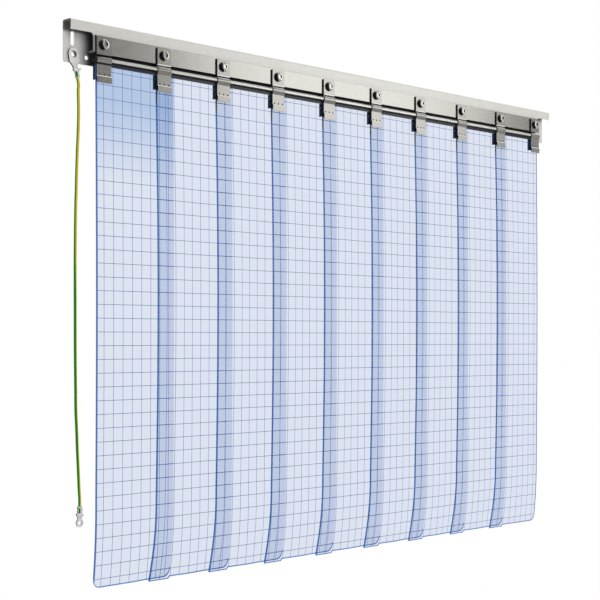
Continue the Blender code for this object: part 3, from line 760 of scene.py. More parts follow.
@dataclass(frozen=True)
class VinylFinish:
    """Clear bluish plastic with a printed grid on its front face."""

    name: str
    side: Side
    start_across: float = 0.017
    tint: Colour = (0.10, 0.27, 0.66)
    edge: Colour = (0.008, 0.125, 0.42)
    # painted reflection: near black on the strip's edge beside the clips, where the dark clips are
    # mirrored
    edge_top_shade: Colour = (0.004, 0.006, 0.018)
    edge_fade: tuple[float, float] = (0.053, 0.066)
    # painted shade: dark grey band along each strip's top, under the bead
    top_band_shade: Colour = (0.026, 0.027, 0.034)
    line: Colour = (0.020, 0.075, 0.30)
    body_alpha: float = 0.165
    line_alpha: float = 0.88
    crossing_alpha: float = 0.95
    edge_alpha: float = 0.93
    haze: float = 0.12
    margin: float = 0.0027
    # depth of that band of painted shade
    top_band_depth: float = 0.0057
    top_band_shade_fade: float = 0.0004
    through: Colour = (0.851, 0.880, 0.938)
    # painted shade: deeper tint near the strip's top, used on the first strip
    through_top_shade: Colour | None = None
    through_fade: tuple[float, float] = (0.07, 0.21)

    def build(self) -> bpy.types.Material:
        """Make the material.

        Returns:
            The material.
        """
        material, shader = new_material(self.name)
        tree = material.node_tree
        shader.inputs["Roughness"].default_value = 0.16
        shader.inputs["IOR"].default_value = 1.5
        shader.inputs["Specular IOR Level"].default_value = 0.3
        waves = place_group(tree, kit().waves, "Object", {"Scale": 7.0})
        tree.links.new(bump_node(tree, waves["Height"], 0.002, 0.4), shader.inputs["Normal"])
        if self.side is Side.PRINTED:
            self._print(tree, shader)
        elif self.side is Side.PLAIN:
            shader.inputs["Base Color"].default_value = opaque(self.tint)
            shader.inputs["Alpha"].default_value = self.body_alpha
            self._see_through(tree, shader, self.haze)
        else:
            down = split_node(tree, place_node(tree, "UV"))["Y"]
            tree.links.new(self._edge_colour(tree, down), shader.inputs["Base Color"])
            shader.inputs["Alpha"].default_value = self.edge_alpha
        return material

    def _print(self, tree: bpy.types.NodeTree, shader: bpy.types.Node) -> None:
        """Grid lines over the clear skin, darker where two cross, and the face's own rim.

        The rim is the band along the left side, where the cut edge shows through, and a band of painted
        shade along the top, under the bead.

        Args:
            tree: the material's nodes.
            shader: its Principled shader.
        """
        grid = place_group(tree, kit().grid, "UV", {"Start Across": self.start_across})
        spot = split_node(tree, place_node(tree, "UV"))
        rim = math_node(tree, "MAXIMUM",
                        math_node(tree, "LESS_THAN", spot["X"], self.margin),
                        math_node(tree, "LESS_THAN", spot["Y"], self.top_band_depth))
        colour = mix_node(tree, grid["Mask"], opaque(self.tint), opaque(self.line), colour=True)
        colour = mix_node(tree, rim, colour, self._edge_colour(tree, spot["Y"]), colour=True)
        alpha = map_node(tree, grid["Mask"], result=(self.body_alpha, self.line_alpha))
        alpha = mix_node(tree, grid["Crossings"], alpha, self.crossing_alpha)
        alpha = mix_node(tree, rim, alpha, self.edge_alpha)
        share = map_node(tree, math_node(tree, "MAXIMUM", grid["Mask"], rim),
                         result=(self.haze, 1.0))
        tree.links.new(colour, shader.inputs["Base Color"])
        tree.links.new(alpha, shader.inputs["Alpha"])
        self._see_through(tree, shader, share)

    def _edge_colour(self, tree: bpy.types.NodeTree,
                     down: bpy.types.NodeSocket) -> bpy.types.NodeSocket:
        """Painted shade, dark grey, in the band along the top; near black below it, a painted reflection
        of the dark clips; deep blue further down.

        Args:
            tree: the material's nodes.
            down: distance from the strip's upper edge.

        Returns:
            The colour.
        """
        top, below = self.edge_fade
        return ramp_node(tree, down, ((0.0, self.top_band_shade), (self.top_band_depth, self.top_band_shade),
                                      (self.top_band_depth + self.top_band_shade_fade, self.edge_top_shade),
                                      (top, self.edge_top_shade), (below, self.edge)))

    def _see_through(self, tree: bpy.types.NodeTree, shader: bpy.types.Node,
                     share: bpy.types.NodeSocket | float) -> None:
        """Mix the skin with clear bluish plastic that tints what lies behind it.

        Args:
            tree: the material's nodes.
            shader: its Principled shader.
            share: share of the skin.
        """
        clear = tree.nodes.new("ShaderNodeBsdfTransparent")
        clear.inputs["Color"].default_value = opaque(self.through)
        # painted shade: deeper tint near the strip's top, fading downwards
        if self.through_top_shade:
            down = split_node(tree, place_node(tree, "UV"))["Y"]
            top, below = self.through_fade
            tree.links.new(ramp_node(tree, down, ((top, self.through_top_shade),
                                                  (below, self.through))),
                           clear.inputs["Color"])
        mix = tree.nodes.new("ShaderNodeMixShader")
        feed(tree, mix.inputs["Fac"], share)
        tree.links.new(clear.outputs[0], mix.inputs[1])
        tree.links.new(shader.outputs[0], mix.inputs[2])
        tree.links.new(mix.outputs[0], tree.nodes["Material Output"].inputs["Surface"])


@dataclass(frozen=True)
class LeadFinish:
    """Green insulation with a yellow stripe along one side."""

    name: str = "lead_insulation"
    green: Colour = (0.007, 0.215, 0.003)
    yellow: Colour = (0.66, 0.47, 0.010)
    stripe: tuple[float, float] = (0.27, 0.73)

    def build(self) -> bpy.types.Material:
        """Make the material.

        Returns:
            The material.
        """
        material, shader = new_material(self.name)
        tree = material.node_tree
        around = split_node(tree, place_node(tree, "UV"))["X"]
        start, end = self.stripe
        colour = ramp_node(tree, around, ((0.0, self.green), (start, self.yellow),
                                          (end, self.green)), stepped=True)
        tree.links.new(colour, shader.inputs["Base Color"])
        shader.inputs["Roughness"].default_value = 0.5
        shader.inputs["Specular IOR Level"].default_value = 0.12
        return material


@dataclass
class Finishes:
    """Every finish of the curtain, built once."""

    rail: bpy.types.Material = field(init=False)
    profile: bpy.types.Material = field(init=False)
    tab: bpy.types.Material = field(init=False)
    bolt: bpy.types.Material = field(init=False)
    clip: bpy.types.Material = field(init=False)
    rear: bpy.types.Material = field(init=False)
    lug: bpy.types.Material = field(init=False)
    eyelet: bpy.types.Material = field(init=False)
    painted_highlight: bpy.types.Material = field(init=False)
    hook_shade: bpy.types.Material = field(init=False)
    bead: bpy.types.Material = field(init=False)
    channel: bpy.types.Material = field(init=False)
    painted_dark: bpy.types.Material = field(init=False)
    shaded: bpy.types.Material = field(init=False)
    vinyl: dict[bool, list[bpy.types.Material]] = field(init=False)
    lead: bpy.types.Material = field(init=False)

    def __post_init__(self) -> None:
        """Build the materials."""
        self.rail = SteelFinish("rail_satin_steel", (0.70, 0.685, 0.645), (0.82, 0.805, 0.765),
                                0.34, 0.48, 700.0, 420.0, 0.6, metal=0.45).build()
        self.profile = SteelFinish("profile_mill_steel", (0.54, 0.525, 0.485),
                                   (0.66, 0.645, 0.60), 0.19, 0.27).build()
        self.tab = SteelFinish("tab_mill_steel", (0.45, 0.437, 0.402), (0.56, 0.543, 0.503),
                               0.19, 0.27).build()
        # painted highlight: a lighter copy of the profile's steel for its bead
        self.bead = SteelFinish("bead_painted_highlight_steel", (0.74, 0.725, 0.69), (0.86, 0.845, 0.81),
                                0.24, 0.32, metal=0.7).build()
        self.bolt = SteelFinish("bolt_polished_steel", (0.70, 0.69, 0.67), (0.86, 0.85, 0.83),
                                0.08, 0.16, 300.0, 200.0, 0.8, 0.00001).build()
        self.clip = SteelFinish("clip_mill_steel", (0.475, 0.461, 0.424), (0.525, 0.509, 0.470),
                                0.21, 0.28).build()
        # painted highlight for the hook's top, the clips' crease and the tabs' hem
        self.painted_highlight = SteelFinish("crease_painted_highlight_steel", (0.95, 0.94, 0.92), (1.0, 0.99, 0.97),
                                0.30, 0.40, metal=0.2).build()
        # painted shade: a dark copy of the clip's steel for the slope under the bead
        self.hook_shade = SteelFinish("hook_slope_painted_shade", (0.24, 0.233, 0.216), (0.32, 0.31, 0.29),
                                  0.32, 0.42, metal=0.5).build()
        # painted shade: the rear clamp plates are near black, in place of the shadow behind the clips
        self.rear = SteelFinish("rear_plate_painted_shade_steel", (0.006, 0.007, 0.010),
                                (0.016, 0.018, 0.024), 0.5, 0.65, metal=0.2).build()
        self.lug = SteelFinish("lug_tinned_copper", (0.78, 0.77, 0.745), (0.90, 0.89, 0.86),
                               0.22, 0.34, 800.0, 300.0, 0.6, metal=0.25).build()
        # dull steel, darkened further as painted shade of the rivet's bore
        self.eyelet = SteelFinish("eyelet_dull_steel_painted_shade", (0.16, 0.16, 0.16), (0.30, 0.295, 0.29),
                                  0.25, 0.38, 600.0, 300.0, 0.6).build()
        # painted shade: the rail's channel faces, near black in the middle, clean at the ends
        self.channel = SteelFinish("channel_painted_shade_steel", (0.62, 0.608, 0.578),
                                   (0.72, 0.706, 0.672), 0.5, 0.65, metal=0.1,
                                   shade_ends=(0.676, 0.706)).build()
        # painted shade and painted dark reflection: near black for gaps, recesses, undersides, cut sides
        # and the dark sides of bolts and lugs
        self.painted_dark = SteelFinish("painted_dark_steel", (0.005, 0.006, 0.009),
                                   (0.014, 0.014, 0.018), 0.5, 0.65, metal=0.2).build()
        # painted shade for the underside of the rail's top flange
        self.shaded = SteelFinish("flange_underside_painted_shade", (0.14, 0.137, 0.13), (0.20, 0.197, 0.187),
                                  0.5, 0.65, metal=0.2).build()
        plain = VinylFinish("clear_vinyl_plain", Side.PLAIN).build()
        foot = VinylFinish("clear_vinyl_foot", Side.EDGE, edge=(0.07, 0.24, 0.62),
                           edge_alpha=0.8).build()
        self.vinyl = {}
        # the last two values of each row are painted light: the first strip's deeper tint near its top,
        # and the colour of the edge beside the clips
        for first, name, start, top, dark in (
                (True, "first", 0.017, (0.50, 0.63, 0.82), (0.006, 0.085, 0.38)),
                (False, "other", 0.022, None, (0.004, 0.006, 0.018))):
            self.vinyl[first] = [
                VinylFinish(f"clear_vinyl_printed_{name}", Side.PRINTED, start, through_top_shade=top,
                            edge_top_shade=dark).build(),
                plain, VinylFinish(f"clear_vinyl_edge_{name}", Side.EDGE, edge_top_shade=dark).build(),
                foot]
        self.lead = LeadFinish().build()


# ---- the curtain's own places


@dataclass(frozen=True)
class Layout:
    """Places that several sub-assemblies share, as the part's source has them."""

    pitch: float = 0.150
    end_pitch: float = 0.141
    bolt_z: float = -0.0015
    bead_y: float = -0.027
    bead_z: float = -0.0295
    bead_radius: float = 0.005
    gap: float = 0.0003
    tab_width: float = 0.033
    strips: int = 9

    @property
    def bolts(self) -> list[float]:
        """X of the ten bolts."""
        inner = [(index - 3.5) * self.pitch for index in range(8)]
        return [inner[0] - self.end_pitch] + inner + [inner[-1] + self.end_pitch]

    def body(self, number: int) -> str:
        """Name of the body that a strip swings with.

        Args:
            number: number of the strip or clip, from the left.

        Returns:
            The body's name.
        """
        return f"strip_{min(number, self.strips)}_body"


PLAN = Layout()


@dataclass
class Viewpoint:
    """Level camera at the photograph's place, 45 degrees to the left of square on."""

    place: Point = (-2.1998, -2.0709, -0.5378)
    turn: float = -44.96
    focal: float = 83.4
    shift: float = 0.0662

    def build(self) -> bpy.types.Object:
        """Make the camera and set it as the scene's.

        Returns:
            The camera.
        """
        data = bpy.data.cameras.new("viewpoint")
        data.lens = self.focal
        data.sensor_width = 36.0
        data.sensor_fit = "HORIZONTAL"
        data.shift_y = self.shift
        data.clip_start = 0.05
        camera = bpy.data.objects.new("viewpoint", data)
        bpy.context.scene.collection.objects.link(camera)
        camera.location = self.place
        camera.rotation_euler = (math.radians(90.0), 0.0, math.radians(self.turn))
        bpy.context.scene.camera = camera
        return camera


@dataclass(frozen=True)
class Barrel:
    """Sizes of a crimp barrel, and how far its centre is below the lug's own point."""

    radius: float
    length: float
    drop: float
    mouth: Point
    mouth_place: Point


@dataclass
class EarthLead:
    """Green and yellow wire with its two crimped lugs, and its ends inside their barrels."""

    radius: float = 0.00275
    y: float = -0.0074
    seat_y: float = -0.0033
    lug_sheet: float = 0.0036
    ring_radius: float = 0.0112
    eye_radius: float = 0.0063
    shoulder_drop: float = 0.0127
    waist_drop: float = 0.0215
    neck_drop: float = 0.0300
    neck_width: float = 0.0096
    waist_share: float = 0.43
    ears: Point = (0.018, 0.0013, 0.0055)
    ears_ahead: float = 0.0028
    ears_drop: float = 0.0288
    ears_share: float = 0.66
    tail_ring_radius: float = 0.008
    tail_sheet: float = 0.002
    tail_eye_radius: float = 0.0035
    tail_drop: float = 0.0296
    tail_neck: Point = (0.0075, 0.0019, 0.0185)
    tail_neck_drop: float = 0.0195
    tail_neck_share: float = 1.6
    tail_waist: Point = (0.0068, 0.0062, 0.0150)
    upper_barrel: Barrel = Barrel(0.0041, 0.0172, 0.0342, (0.004, 0.0046, 0.0105),
                                  (0.0030, 0.0017, 0.0362))
    lower_barrel: Barrel = Barrel(0.0048, 0.013, 0.0065, (0.005, 0.0050, 0.0090),
                                  (0.0031, 0.0029, 0.0072))
    wire_play: float = 0.0001
    cutter: float = 0.03
    eye_x: float = -0.7157
    eye_z: float = -0.0219
    tilt: float = 10.5
    barrel_end: float = 0.0428
    end_x: float = -0.7032
    end_z: float = -0.840
    sway: float = 0.009
    sides: int = 24
    points: int = 160
    steps: int = 20
    twists: tuple[tuple[float, float], ...] = (
        (0.0, -0.02), (0.24, 0.0), (0.40, 0.04), (0.50, 0.13), (0.84, 0.12), (1.0, 0.05))
    sway_shares: tuple[tuple[float, float], ...] = (
        (0.028, -0.16), (0.075, -0.22), (0.121, -0.10), (0.168, 0.13), (0.215, 0.32),
        (0.261, 0.46), (0.308, 0.62), (0.401, 0.78), (0.471, 0.84), (0.541, 0.86), (0.634, 0.89),
        (0.728, 0.84), (0.774, 0.82), (0.821, 0.64), (0.867, 0.50), (0.914, 0.30), (0.960, 0.12))

    def knots(self) -> list[Vector]:
        """Knots of the wire, from the upper lug to the lower one.

        Returns:
            The knots.
        """
        lean = math.radians(self.tilt)
        reach = self.barrel_end + PLAN.gap
        way = Vector((math.sin(lean), 0.0, -math.cos(lean)))
        start = Vector((self.eye_x, self.y, self.eye_z)) + way * reach
        end = Vector((self.end_x, self.y, self.end_z + PLAN.gap))
        found = [start, start + way * self.radius * 5]
        for down, sway in self.sway_shares:
            point = start.lerp(end, down)
            found.append(Vector((point.x - self.sway * sway, self.y, point.z)))
        found.append(end + Vector((0.0, 0.0, self.radius * 5)))
        found.append(end)
        return found

    def route(self) -> list[Vector]:
        """Even points along a smooth curve through the knots.

        Returns:
            The points.
        """
        knots = self.knots()
        ends = [knots[0] * 2 - knots[1]] + knots + [knots[-1] * 2 - knots[-2]]
        fine: list[Vector] = []
        for before, first, second, after in zip(ends, ends[1:], ends[2:], ends[3:]):
            for step in range(self.steps):
                share = step / self.steps
                pull_in, pull_out = (second - before) / 2, (after - first) / 2
                squared, cubed = share ** 2, share ** 3
                fine.append(first * (2 * cubed - 3 * squared + 1)
                            + pull_in * (cubed - 2 * squared + share)
                            + second * (3 * squared - 2 * cubed) + pull_out * (cubed - squared))
        fine.append(knots[-1])
        lengths = [0.0]
        for first, second in zip(fine, fine[1:]):
            lengths.append(lengths[-1] + (second - first).length)
        found, place = [], 0
        for index in range(self.points):
            target = lengths[-1] * index / (self.points - 1)
            while place < len(fine) - 2 and lengths[place + 1] < target:
                place += 1
            span = lengths[place + 1] - lengths[place]
            found.append(fine[place].lerp(fine[place + 1], (target - lengths[place]) / span))
        return found

    def twist(self, along: float) -> float:
        """Turn of the yellow stripe round the wire.

        Args:
            along: share of the wire's length.

        Returns:
            The turn, in whole turns.
        """
        for (start, first), (end, last) in zip(self.twists, self.twists[1:]):
            if along <= end:
                return first + (last - first) * (along - start) / (end - start)
        return self.twists[-1][1]

    def wire(self, finish: bpy.types.Material) -> tuple[bpy.types.Object, list[Vector]]:
        """Insulated wire as a tube with a map round and along it.

        Args:
            finish: the insulation's material.

        Returns:
            The piece and the points that it follows.
        """
        route = self.route()
        form = bmesh.new()
        layer = form.loops.layers.uv.new("UVMap")
        front = Vector((1.0, -1.0, 0.0)).normalized()
        rings = []
        for index, point in enumerate(route):
            before, after = route[max(index - 1, 0)], route[min(index + 1, len(route) - 1)]
            way = (after - before).normalized()
            side = (front - way * front.dot(way)).normalized()
            other = way.cross(side)
            ring = []
            for turn in range(self.sides):
                angle = 2 * math.pi * (turn / self.sides - 0.5)
                out = side * math.cos(angle) + other * math.sin(angle)
                ring.append(form.verts.new(point + out * self.radius))
            rings.append(ring)
        for index, (first, second) in enumerate(zip(rings, rings[1:])):
            for turn in range(self.sides):
                following = (turn + 1) % self.sides
                face = form.faces.new((first[turn], first[following], second[following],
                                       second[turn]))
                along = (index / self.points, (index + 1) / self.points)
                twist = self.twist(along[0])
                around = (turn / self.sides + twist, (turn + 1) / self.sides + twist)
                corners = ((around[0], along[0]), (around[1], along[0]),
                           (around[1], along[1]), (around[0], along[1]))
                for loop, corner in zip(face.loops, corners):
                    loop[layer].uv = corner
        form.faces.new(rings[0])
        form.faces.new(list(reversed(rings[-1])))
        bmesh.ops.recalc_face_normals(form, faces=form.faces)
        mesh = bpy.data.meshes.new("earth_wire")
        form.to_mesh(mesh)
        form.free()
        mesh.materials.append(finish)
        piece = bpy.data.objects.new("earth_wire", mesh)
        bpy.context.scene.collection.objects.link(piece)
        activate(piece)
        bpy.ops.object.shade_smooth_by_angle(angle=math.radians(40.0))
        return piece, route

    def _neck(self, name: str, size: Point, place: Point, lower_share: float
              ) -> bpy.types.Object:
        """Flat neck whose lower edge is narrower or wider than its upper one.

        Args:
            name: name of the neck.
            size: its width, thickness and height.
            place: its centre.
            lower_share: width of its lower edge over that of its upper one.

        Returns:
            The neck.
        """
        neck = add_block(name, size, place)
        low = place[2] - size[2] / 4
        pick_faces(neck, lambda centre, normal: normal.z < -0.9 and centre.z < low)
        bpy.ops.transform.resize(value=(lower_share, 1.0, 1.0), center_override=place)
        leave_edit()
        return neck

    def _barrel(self, barrel: Barrel, x: float, z: float) -> bpy.types.Object:
        """Crimp barrel round the wire, open toward the left and the front.

        Args:
            barrel: its sizes.
            x: X of the lug's point.
            z: Z of the lug's point.

        Returns:
            The barrel.
        """
        centre = (x, self.y, z - barrel.drop)
        tube = add_bar("barrel", barrel.radius, barrel.length, centre, False)
        bore = add_bar("bore", self.radius + self.wire_play, self.cutter, centre, False)
        combine(tube, bore, "DIFFERENCE")
        aside, ahead, down = barrel.mouth_place
        mouth = add_block("mouth", barrel.mouth, (x - aside, self.y - ahead, z - down))
        combine(tube, mouth, "DIFFERENCE")
        soften(tube, 0.0003)
        return tube

    def _unite(self, lug: bpy.types.Object, extras: Sequence[bpy.types.Object],
               finish: bpy.types.Material) -> None:
        """Join a lug's parts into one piece with one finish.

        Args:
            lug: the part that is kept.
            extras: the parts that join it.
            finish: its material.
        """
        activate(lug)
        for extra in extras:
            extra.select_set(True)
        bpy.ops.object.join()
        lug.data.materials.clear()
        lug.data.materials.append(finish)

    def upper_lug(self, finish: bpy.types.Material) -> bpy.types.Object:
        """Crimped ring lug that hangs from the rivet, leaning to the right.

        Args:
            finish: its material.

        Returns:
            The piece.
        """
        face = self.seat_y - self.lug_sheet / 2
        thin = self.lug_sheet - 0.00004
        lug = add_bar("earth_crimp_lug_upper", self.ring_radius, self.lug_sheet,
                      (self.eye_x, face, self.eye_z))
        for name, width, high, low, share in (
                ("sides", 2 * self.ring_radius, 0.0, self.shoulder_drop, 1.0),
                ("taper", 2 * self.ring_radius, self.shoulder_drop - 0.0001, self.waist_drop,
                 self.waist_share),
                ("neck", self.neck_width, self.waist_drop - 0.001, self.neck_drop, 1.0)):
            extra = self._neck(name, (width, thin, low - high),
                               (self.eye_x, face, self.eye_z - (high + low) / 2), share)
            combine(lug, extra, "UNION")
        hole = add_bar("hole", self.eye_radius, self.cutter, (self.eye_x, face, self.eye_z))
        combine(lug, hole, "DIFFERENCE")
        soften(lug, 0.0004, 2)
        barrel = self._barrel(self.upper_barrel, self.eye_x, self.eye_z)
        ears = self._neck("ears", self.ears, (self.eye_x, self.y - self.ears_ahead,
                                              self.eye_z - self.ears_drop), self.ears_share)
        soften(ears, 0.0004)
        self._unite(lug, (barrel, ears), finish)
        self._lean(lug)
        return lug

    def lower_lug(self, finish: bpy.types.Material) -> bpy.types.Object:
        """Crimped ring lug on the wire's free end.

        Args:
            finish: its material.

        Returns:
            The piece.
        """
        eye = (self.end_x, self.y, self.end_z - self.tail_drop)
        lug = add_bar("earth_crimp_lug_lower", self.tail_ring_radius, self.tail_sheet, eye)
        neck = self._neck("neck", self.tail_neck, (self.end_x, self.y,
                                                   self.end_z - self.tail_neck_drop),
                          self.tail_neck_share)
        combine(lug, neck, "UNION")
        combine(lug, add_bar("hole", self.tail_eye_radius, self.cutter, eye), "DIFFERENCE")
        soften(lug, 0.0003)
        barrel = self._barrel(self.lower_barrel, self.end_x, self.end_z)
        radius, height, drop = self.tail_waist
        waist = add_bar("waist", radius, height, (self.end_x, self.y, self.end_z - drop), False)
        soften(waist, 0.0026, 4)
        self._unite(lug, (barrel, waist), finish)
        return lug

    def _lean(self, piece: bpy.types.Object) -> None:
        """Turn a piece about the rivet's line by the lug's lean.

        Args:
            piece: the piece to turn.
        """
        centre = Vector((self.eye_x, 0.0, self.eye_z))
        turn = Matrix.Rotation(math.radians(-self.tilt), 4, "Y")
        piece.data.transform(Matrix.Translation(centre) @ turn @ Matrix.Translation(-centre))

    def crimped(self, name: str, length: float, x: float, z: float,
                finish: bpy.types.Material) -> bpy.types.Object:
        """End of the insulation inside a lug's open barrel, with its green side out.

        Args:
            name: name of the piece.
            length: its length.
            x: X of its middle.
            z: Z of its middle.
            finish: the insulation's material.

        Returns:
            The piece.
        """
        end = add_bar(name, self.radius, length, (x, self.y, z), False)
        soften(end, 0.0004)
        end.data.materials.clear()
        end.data.materials.append(finish)
        for loop in end.data.uv_layers.active.data:
            loop.uv = (0.1, 0.0)
        return end

    @staticmethod
    def on_outline(normal: Vector) -> bool:
        """True for a face at either side of a barrel, which gets a painted dark reflection."""
        across = (normal.x - normal.y) / math.sqrt(2.0)
        return across < -0.76 or across > 0.90

    def dark_on_upper(self, centre: Vector, normal: Vector) -> bool:
        """True for the faces of the upper lug that are painted dark: a painted dark reflection on its
        barrel's outline and painted shade on its left side.
        """
        on_barrel = centre.y < -0.0070 and self.on_outline(normal)
        return on_barrel or normal.x < -0.3 and (centre.y > -0.0068 or abs(normal.y) < 0.2)

    def dark_on_lower(self, centre: Vector, normal: Vector) -> bool:
        """True for the faces of the lower lug that are painted dark: a painted dark reflection on its
        barrel's outline and painted shade on its left side.
        """
        on_sheet = normal.x < -0.4 and abs(normal.y) < 0.5 and abs(centre.y - self.y) < 0.0012
        return on_sheet or centre.z > self.end_z - 0.0205 and self.on_outline(normal)

    def build(self, finishes: Finishes) -> list[bpy.types.Object]:
        """Args:
            finishes: the curtain's finishes.

        Returns:
            The pieces.
        """
        wire, route = self.wire(finishes.lead)
        upper = self.upper_lug(finishes.lug)
        # painted dark reflection on the barrels' outlines, painted shade on the lugs' left sides
        darken(upper, finishes.painted_dark, self.dark_on_upper)
        lower = self.lower_lug(finishes.lug)
        darken(lower, finishes.painted_dark, self.dark_on_lower)
        stub = self.crimped("earth_wire_crimped_end", 0.0150, self.eye_x,
                            self.eye_z - self.barrel_end + 0.0075, finishes.lead)
        self._lean(stub)
        tail = self.crimped("earth_wire_crimped_tail", 0.0125, self.end_x,
                            self.end_z - 0.00635, finishes.lead)
        pieces = [wire, upper, lower, stub, tail]
        for piece, slot, nodes in zip(
                pieces, (Slot.LEAD, Slot.LUG, Slot.LUG, Slot.LEAD, Slot.LEAD),
                (["earth_lead"], ["earth_lug_upper"], ["earth_lug_lower"], [], [])):
            seat(piece, "rail_body", nodes)
        return pieces


@dataclass
class Strips:
    """Nine clear strips, each lapping over its left neighbour."""

    thickness: float = 0.002
    length: float = 0.955
    top: float = -0.0348
    left_overhang: float = 0.018
    first_overhang: float = 0.017
    right_overhang: float = 0.026
    last_overhang: float = 0.010
    bow: float = 0.0022
    margin_bow: float = 0.0036
    curl_length: float = 0.150
    curl_back: float = 0.009
    margin_curl_back: float = 0.003
    tip_flare: float = 0.008
    tip_flare_width: float = 0.046
    tongue: float = 0.004
    foot_line: float = 0.0018
    tongue_step: float = 0.004
    corner_width: float = 0.014
    corner_height: float = 0.017
    bow_start: float = 0.042
    bow_end: float = 0.800
    left_margin_end: float = 2.45
    right_margin: tuple[float, float] = (2.0, 2.9)
    columns: int = 46
    rows: int = 60
    station_shares: tuple[float, ...] = (0.12, 0.12, 0.12, 0.32, 0.32)

    @property
    def lap(self) -> float:
        """Width over which two strips lie one behind the other."""
        return self.left_overhang + self.right_overhang

    def left(self, number: int) -> float:
        """X of a strip's left edge."""
        overhang = self.first_overhang if number == 1 else self.left_overhang
        return PLAN.bolts[number - 1] - overhang

    def width(self, number: int) -> float:
        """Width of a strip."""
        overhang = self.last_overhang if number == PLAN.strips else self.right_overhang
        return PLAN.bolts[number] + overhang - self.left(number)

    @staticmethod
    def ramp(value: float, low: float, high: float) -> float:
        """Smooth step from 0 at low to 1 at high."""
        share = min(max((value - low) / (high - low), 0.0), 1.0)
        return share * share * (3 - 2 * share)

    def curl(self, z: float) -> float:
        """Share of the curled foot's bend, 0 above it and 1 at the lower end."""
        start = self.top - self.length + self.curl_length
        return min(max((start - z) / self.curl_length, 0.0), 1.0) ** 2

    def middle(self, number: int, across: float, z: float) -> float:
        """Y of a strip's middle plane.

        Args:
            number: the strip.
            across: distance from its left edge.
            z: height.

        Returns:
            Y of the middle plane.
        """
        slope = 0.0
        if number < PLAN.strips:
            slope = (self.thickness + PLAN.gap) / (self.left(number + 1) - self.left(number))
        share = (self.top - self.bow_start - z) / (self.bow_end - self.bow_start)
        bow = math.sin(math.pi * min(max(share, 0.0), 1.0))
        y = PLAN.bead_y - self.thickness / 2 + slope * across
        y += self.curl_back * self.curl(z) - self.bow * bow
        if number > 1:
            margin = 1 - self.ramp(across, self.lap, self.lap * self.left_margin_end)
            y += margin * (self.margin_curl_back * self.curl(z) - self.margin_bow * bow)
        if number < PLAN.strips:
            margin = self.ramp(across, self.lap * self.right_margin[0],
                               self.lap * self.right_margin[1])
            y += margin * self.margin_curl_back * self.curl(z)
        return y

    def bottom(self, number: int, across: float) -> float:
        """Z of a strip's lower edge.

        Args:
            number: the strip.
            across: distance from its left edge.

        Returns:
            The height.
        """
        z = self.top - self.length
        for reach in ((across - self.width(number)) / self.corner_width + 1,
                      1 - across / self.corner_width if number == 1 else 0.0):
            if reach > 0:
                z += self.corner_height * (1 - math.sqrt(max(1 - min(reach, 1.0) ** 2, 0.0)))
        if number > 1:
            z -= self.tongue * (1 - self.ramp(across, self.lap - self.tongue_step, self.lap))
        return z

    def _stations(self, number: int) -> list[float]:
        """Distances across a strip, close together where its outline turns.

        Args:
            number: the strip.

        Returns:
            The distances from its left edge.
        """
        width = self.width(number)
        knots = [0.0, self.corner_width, self.lap - self.tongue_step, self.lap,
                 width - self.corner_width, width]
        found = [0.0]
        for index, share in enumerate(self.station_shares):
            count = max(int(self.columns * share), 3)
            for step in range(1, count + 1):
                part = step / count
                if index == 0:
                    part = 1 - math.cos(math.pi / 2 * part)
                if index == 4:
                    part = math.sin(math.pi / 2 * part)
                found.append(knots[index] + (knots[index + 1] - knots[index]) * part)
        return found

    def strip(self, number: int, finishes: Finishes) -> bpy.types.Object:
        """One strip: a grid primitive laid on the strip's surface and given its thickness.

        Args:
            number: the strip.
            finishes: the curtain's finishes.

        Returns:
            The piece.
        """
        stations = self._stations(number)
        across_count, down_count = len(stations) - 1, self.rows
        deselect()
        bpy.ops.mesh.primitive_grid_add(x_subdivisions=across_count, y_subdivisions=down_count,
                                        size=1.0, location=(0.0, 0.0, 0.0), calc_uvs=True)
        piece = start_piece(f"clear_strip_{number}")
        mesh = piece.data
        spots: dict[int, tuple[float, float]] = {}
        for vert in mesh.vertices:
            column = round((vert.co.x + 0.5) * across_count)
            row = round((0.5 - vert.co.y) * down_count)
            across = stations[column]
            low = self.bottom(number, across)
            down = self.length * (row / down_count)
            fade = self.ramp(row / down_count, 0.8, 1.0)
            z = self.top - down + (low - self.top + self.length) * fade
            if row == down_count - 1:
                z = low + self.foot_line
            flare = 0.0
            if number > 1:
                flare = self.tip_flare * self.curl(z) * max(1 - across / self.tip_flare_width, 0.0)
            vert.co = (self.left(number) + across - flare, self.middle(number, across, z), z)
            spots[vert.index] = (across, self.top - z)
        layer = mesh.uv_layers.active
        for loop in mesh.loops:
            layer.data[loop.index].uv = spots[loop.vertex_index]
        for material in finishes.vinyl[number == 1]:
            mesh.materials.append(material)
        for face in mesh.polygons:
            lowest = min(mesh.vertices[index].co.z - self.bottom(number, spots[index][0])
                         for index in face.vertices)
            face.material_index = 3 if lowest < self.foot_line / 2 else 0
        activate(piece)
        if mesh.polygons[0].normal.y > 0:
            edit_all(piece)
            bpy.ops.mesh.flip_normals()
            leave_edit()
        wall = piece.modifiers.new("thickness", "SOLIDIFY")
        wall.thickness = self.thickness
        wall.offset = 0.0
        wall.material_offset = 1
        wall.material_offset_rim = 2
        apply_modifiers(piece)
        if number < PLAN.strips:
            for face in mesh.polygons:
                if face.normal.x > 0.7 and face.center.z > self.top - self.length + 0.030:
                    face.material_index = 1
        activate(piece)
        bpy.ops.object.shade_smooth_by_angle(angle=math.radians(40.0))
        return piece

    def build(self, finishes: Finishes) -> list[bpy.types.Object]:
        """Build every strip and seat it on its body.

        Args:
            finishes: the curtain's finishes.

        Returns:
            The strips.
        """
        found = []
        for number in range(1, PLAN.strips + 1):
            piece = self.strip(number, finishes)
            seat(piece, PLAN.body(number), [f"strip_{number}"])
            self.width(number)
            found.append(piece)
        return found


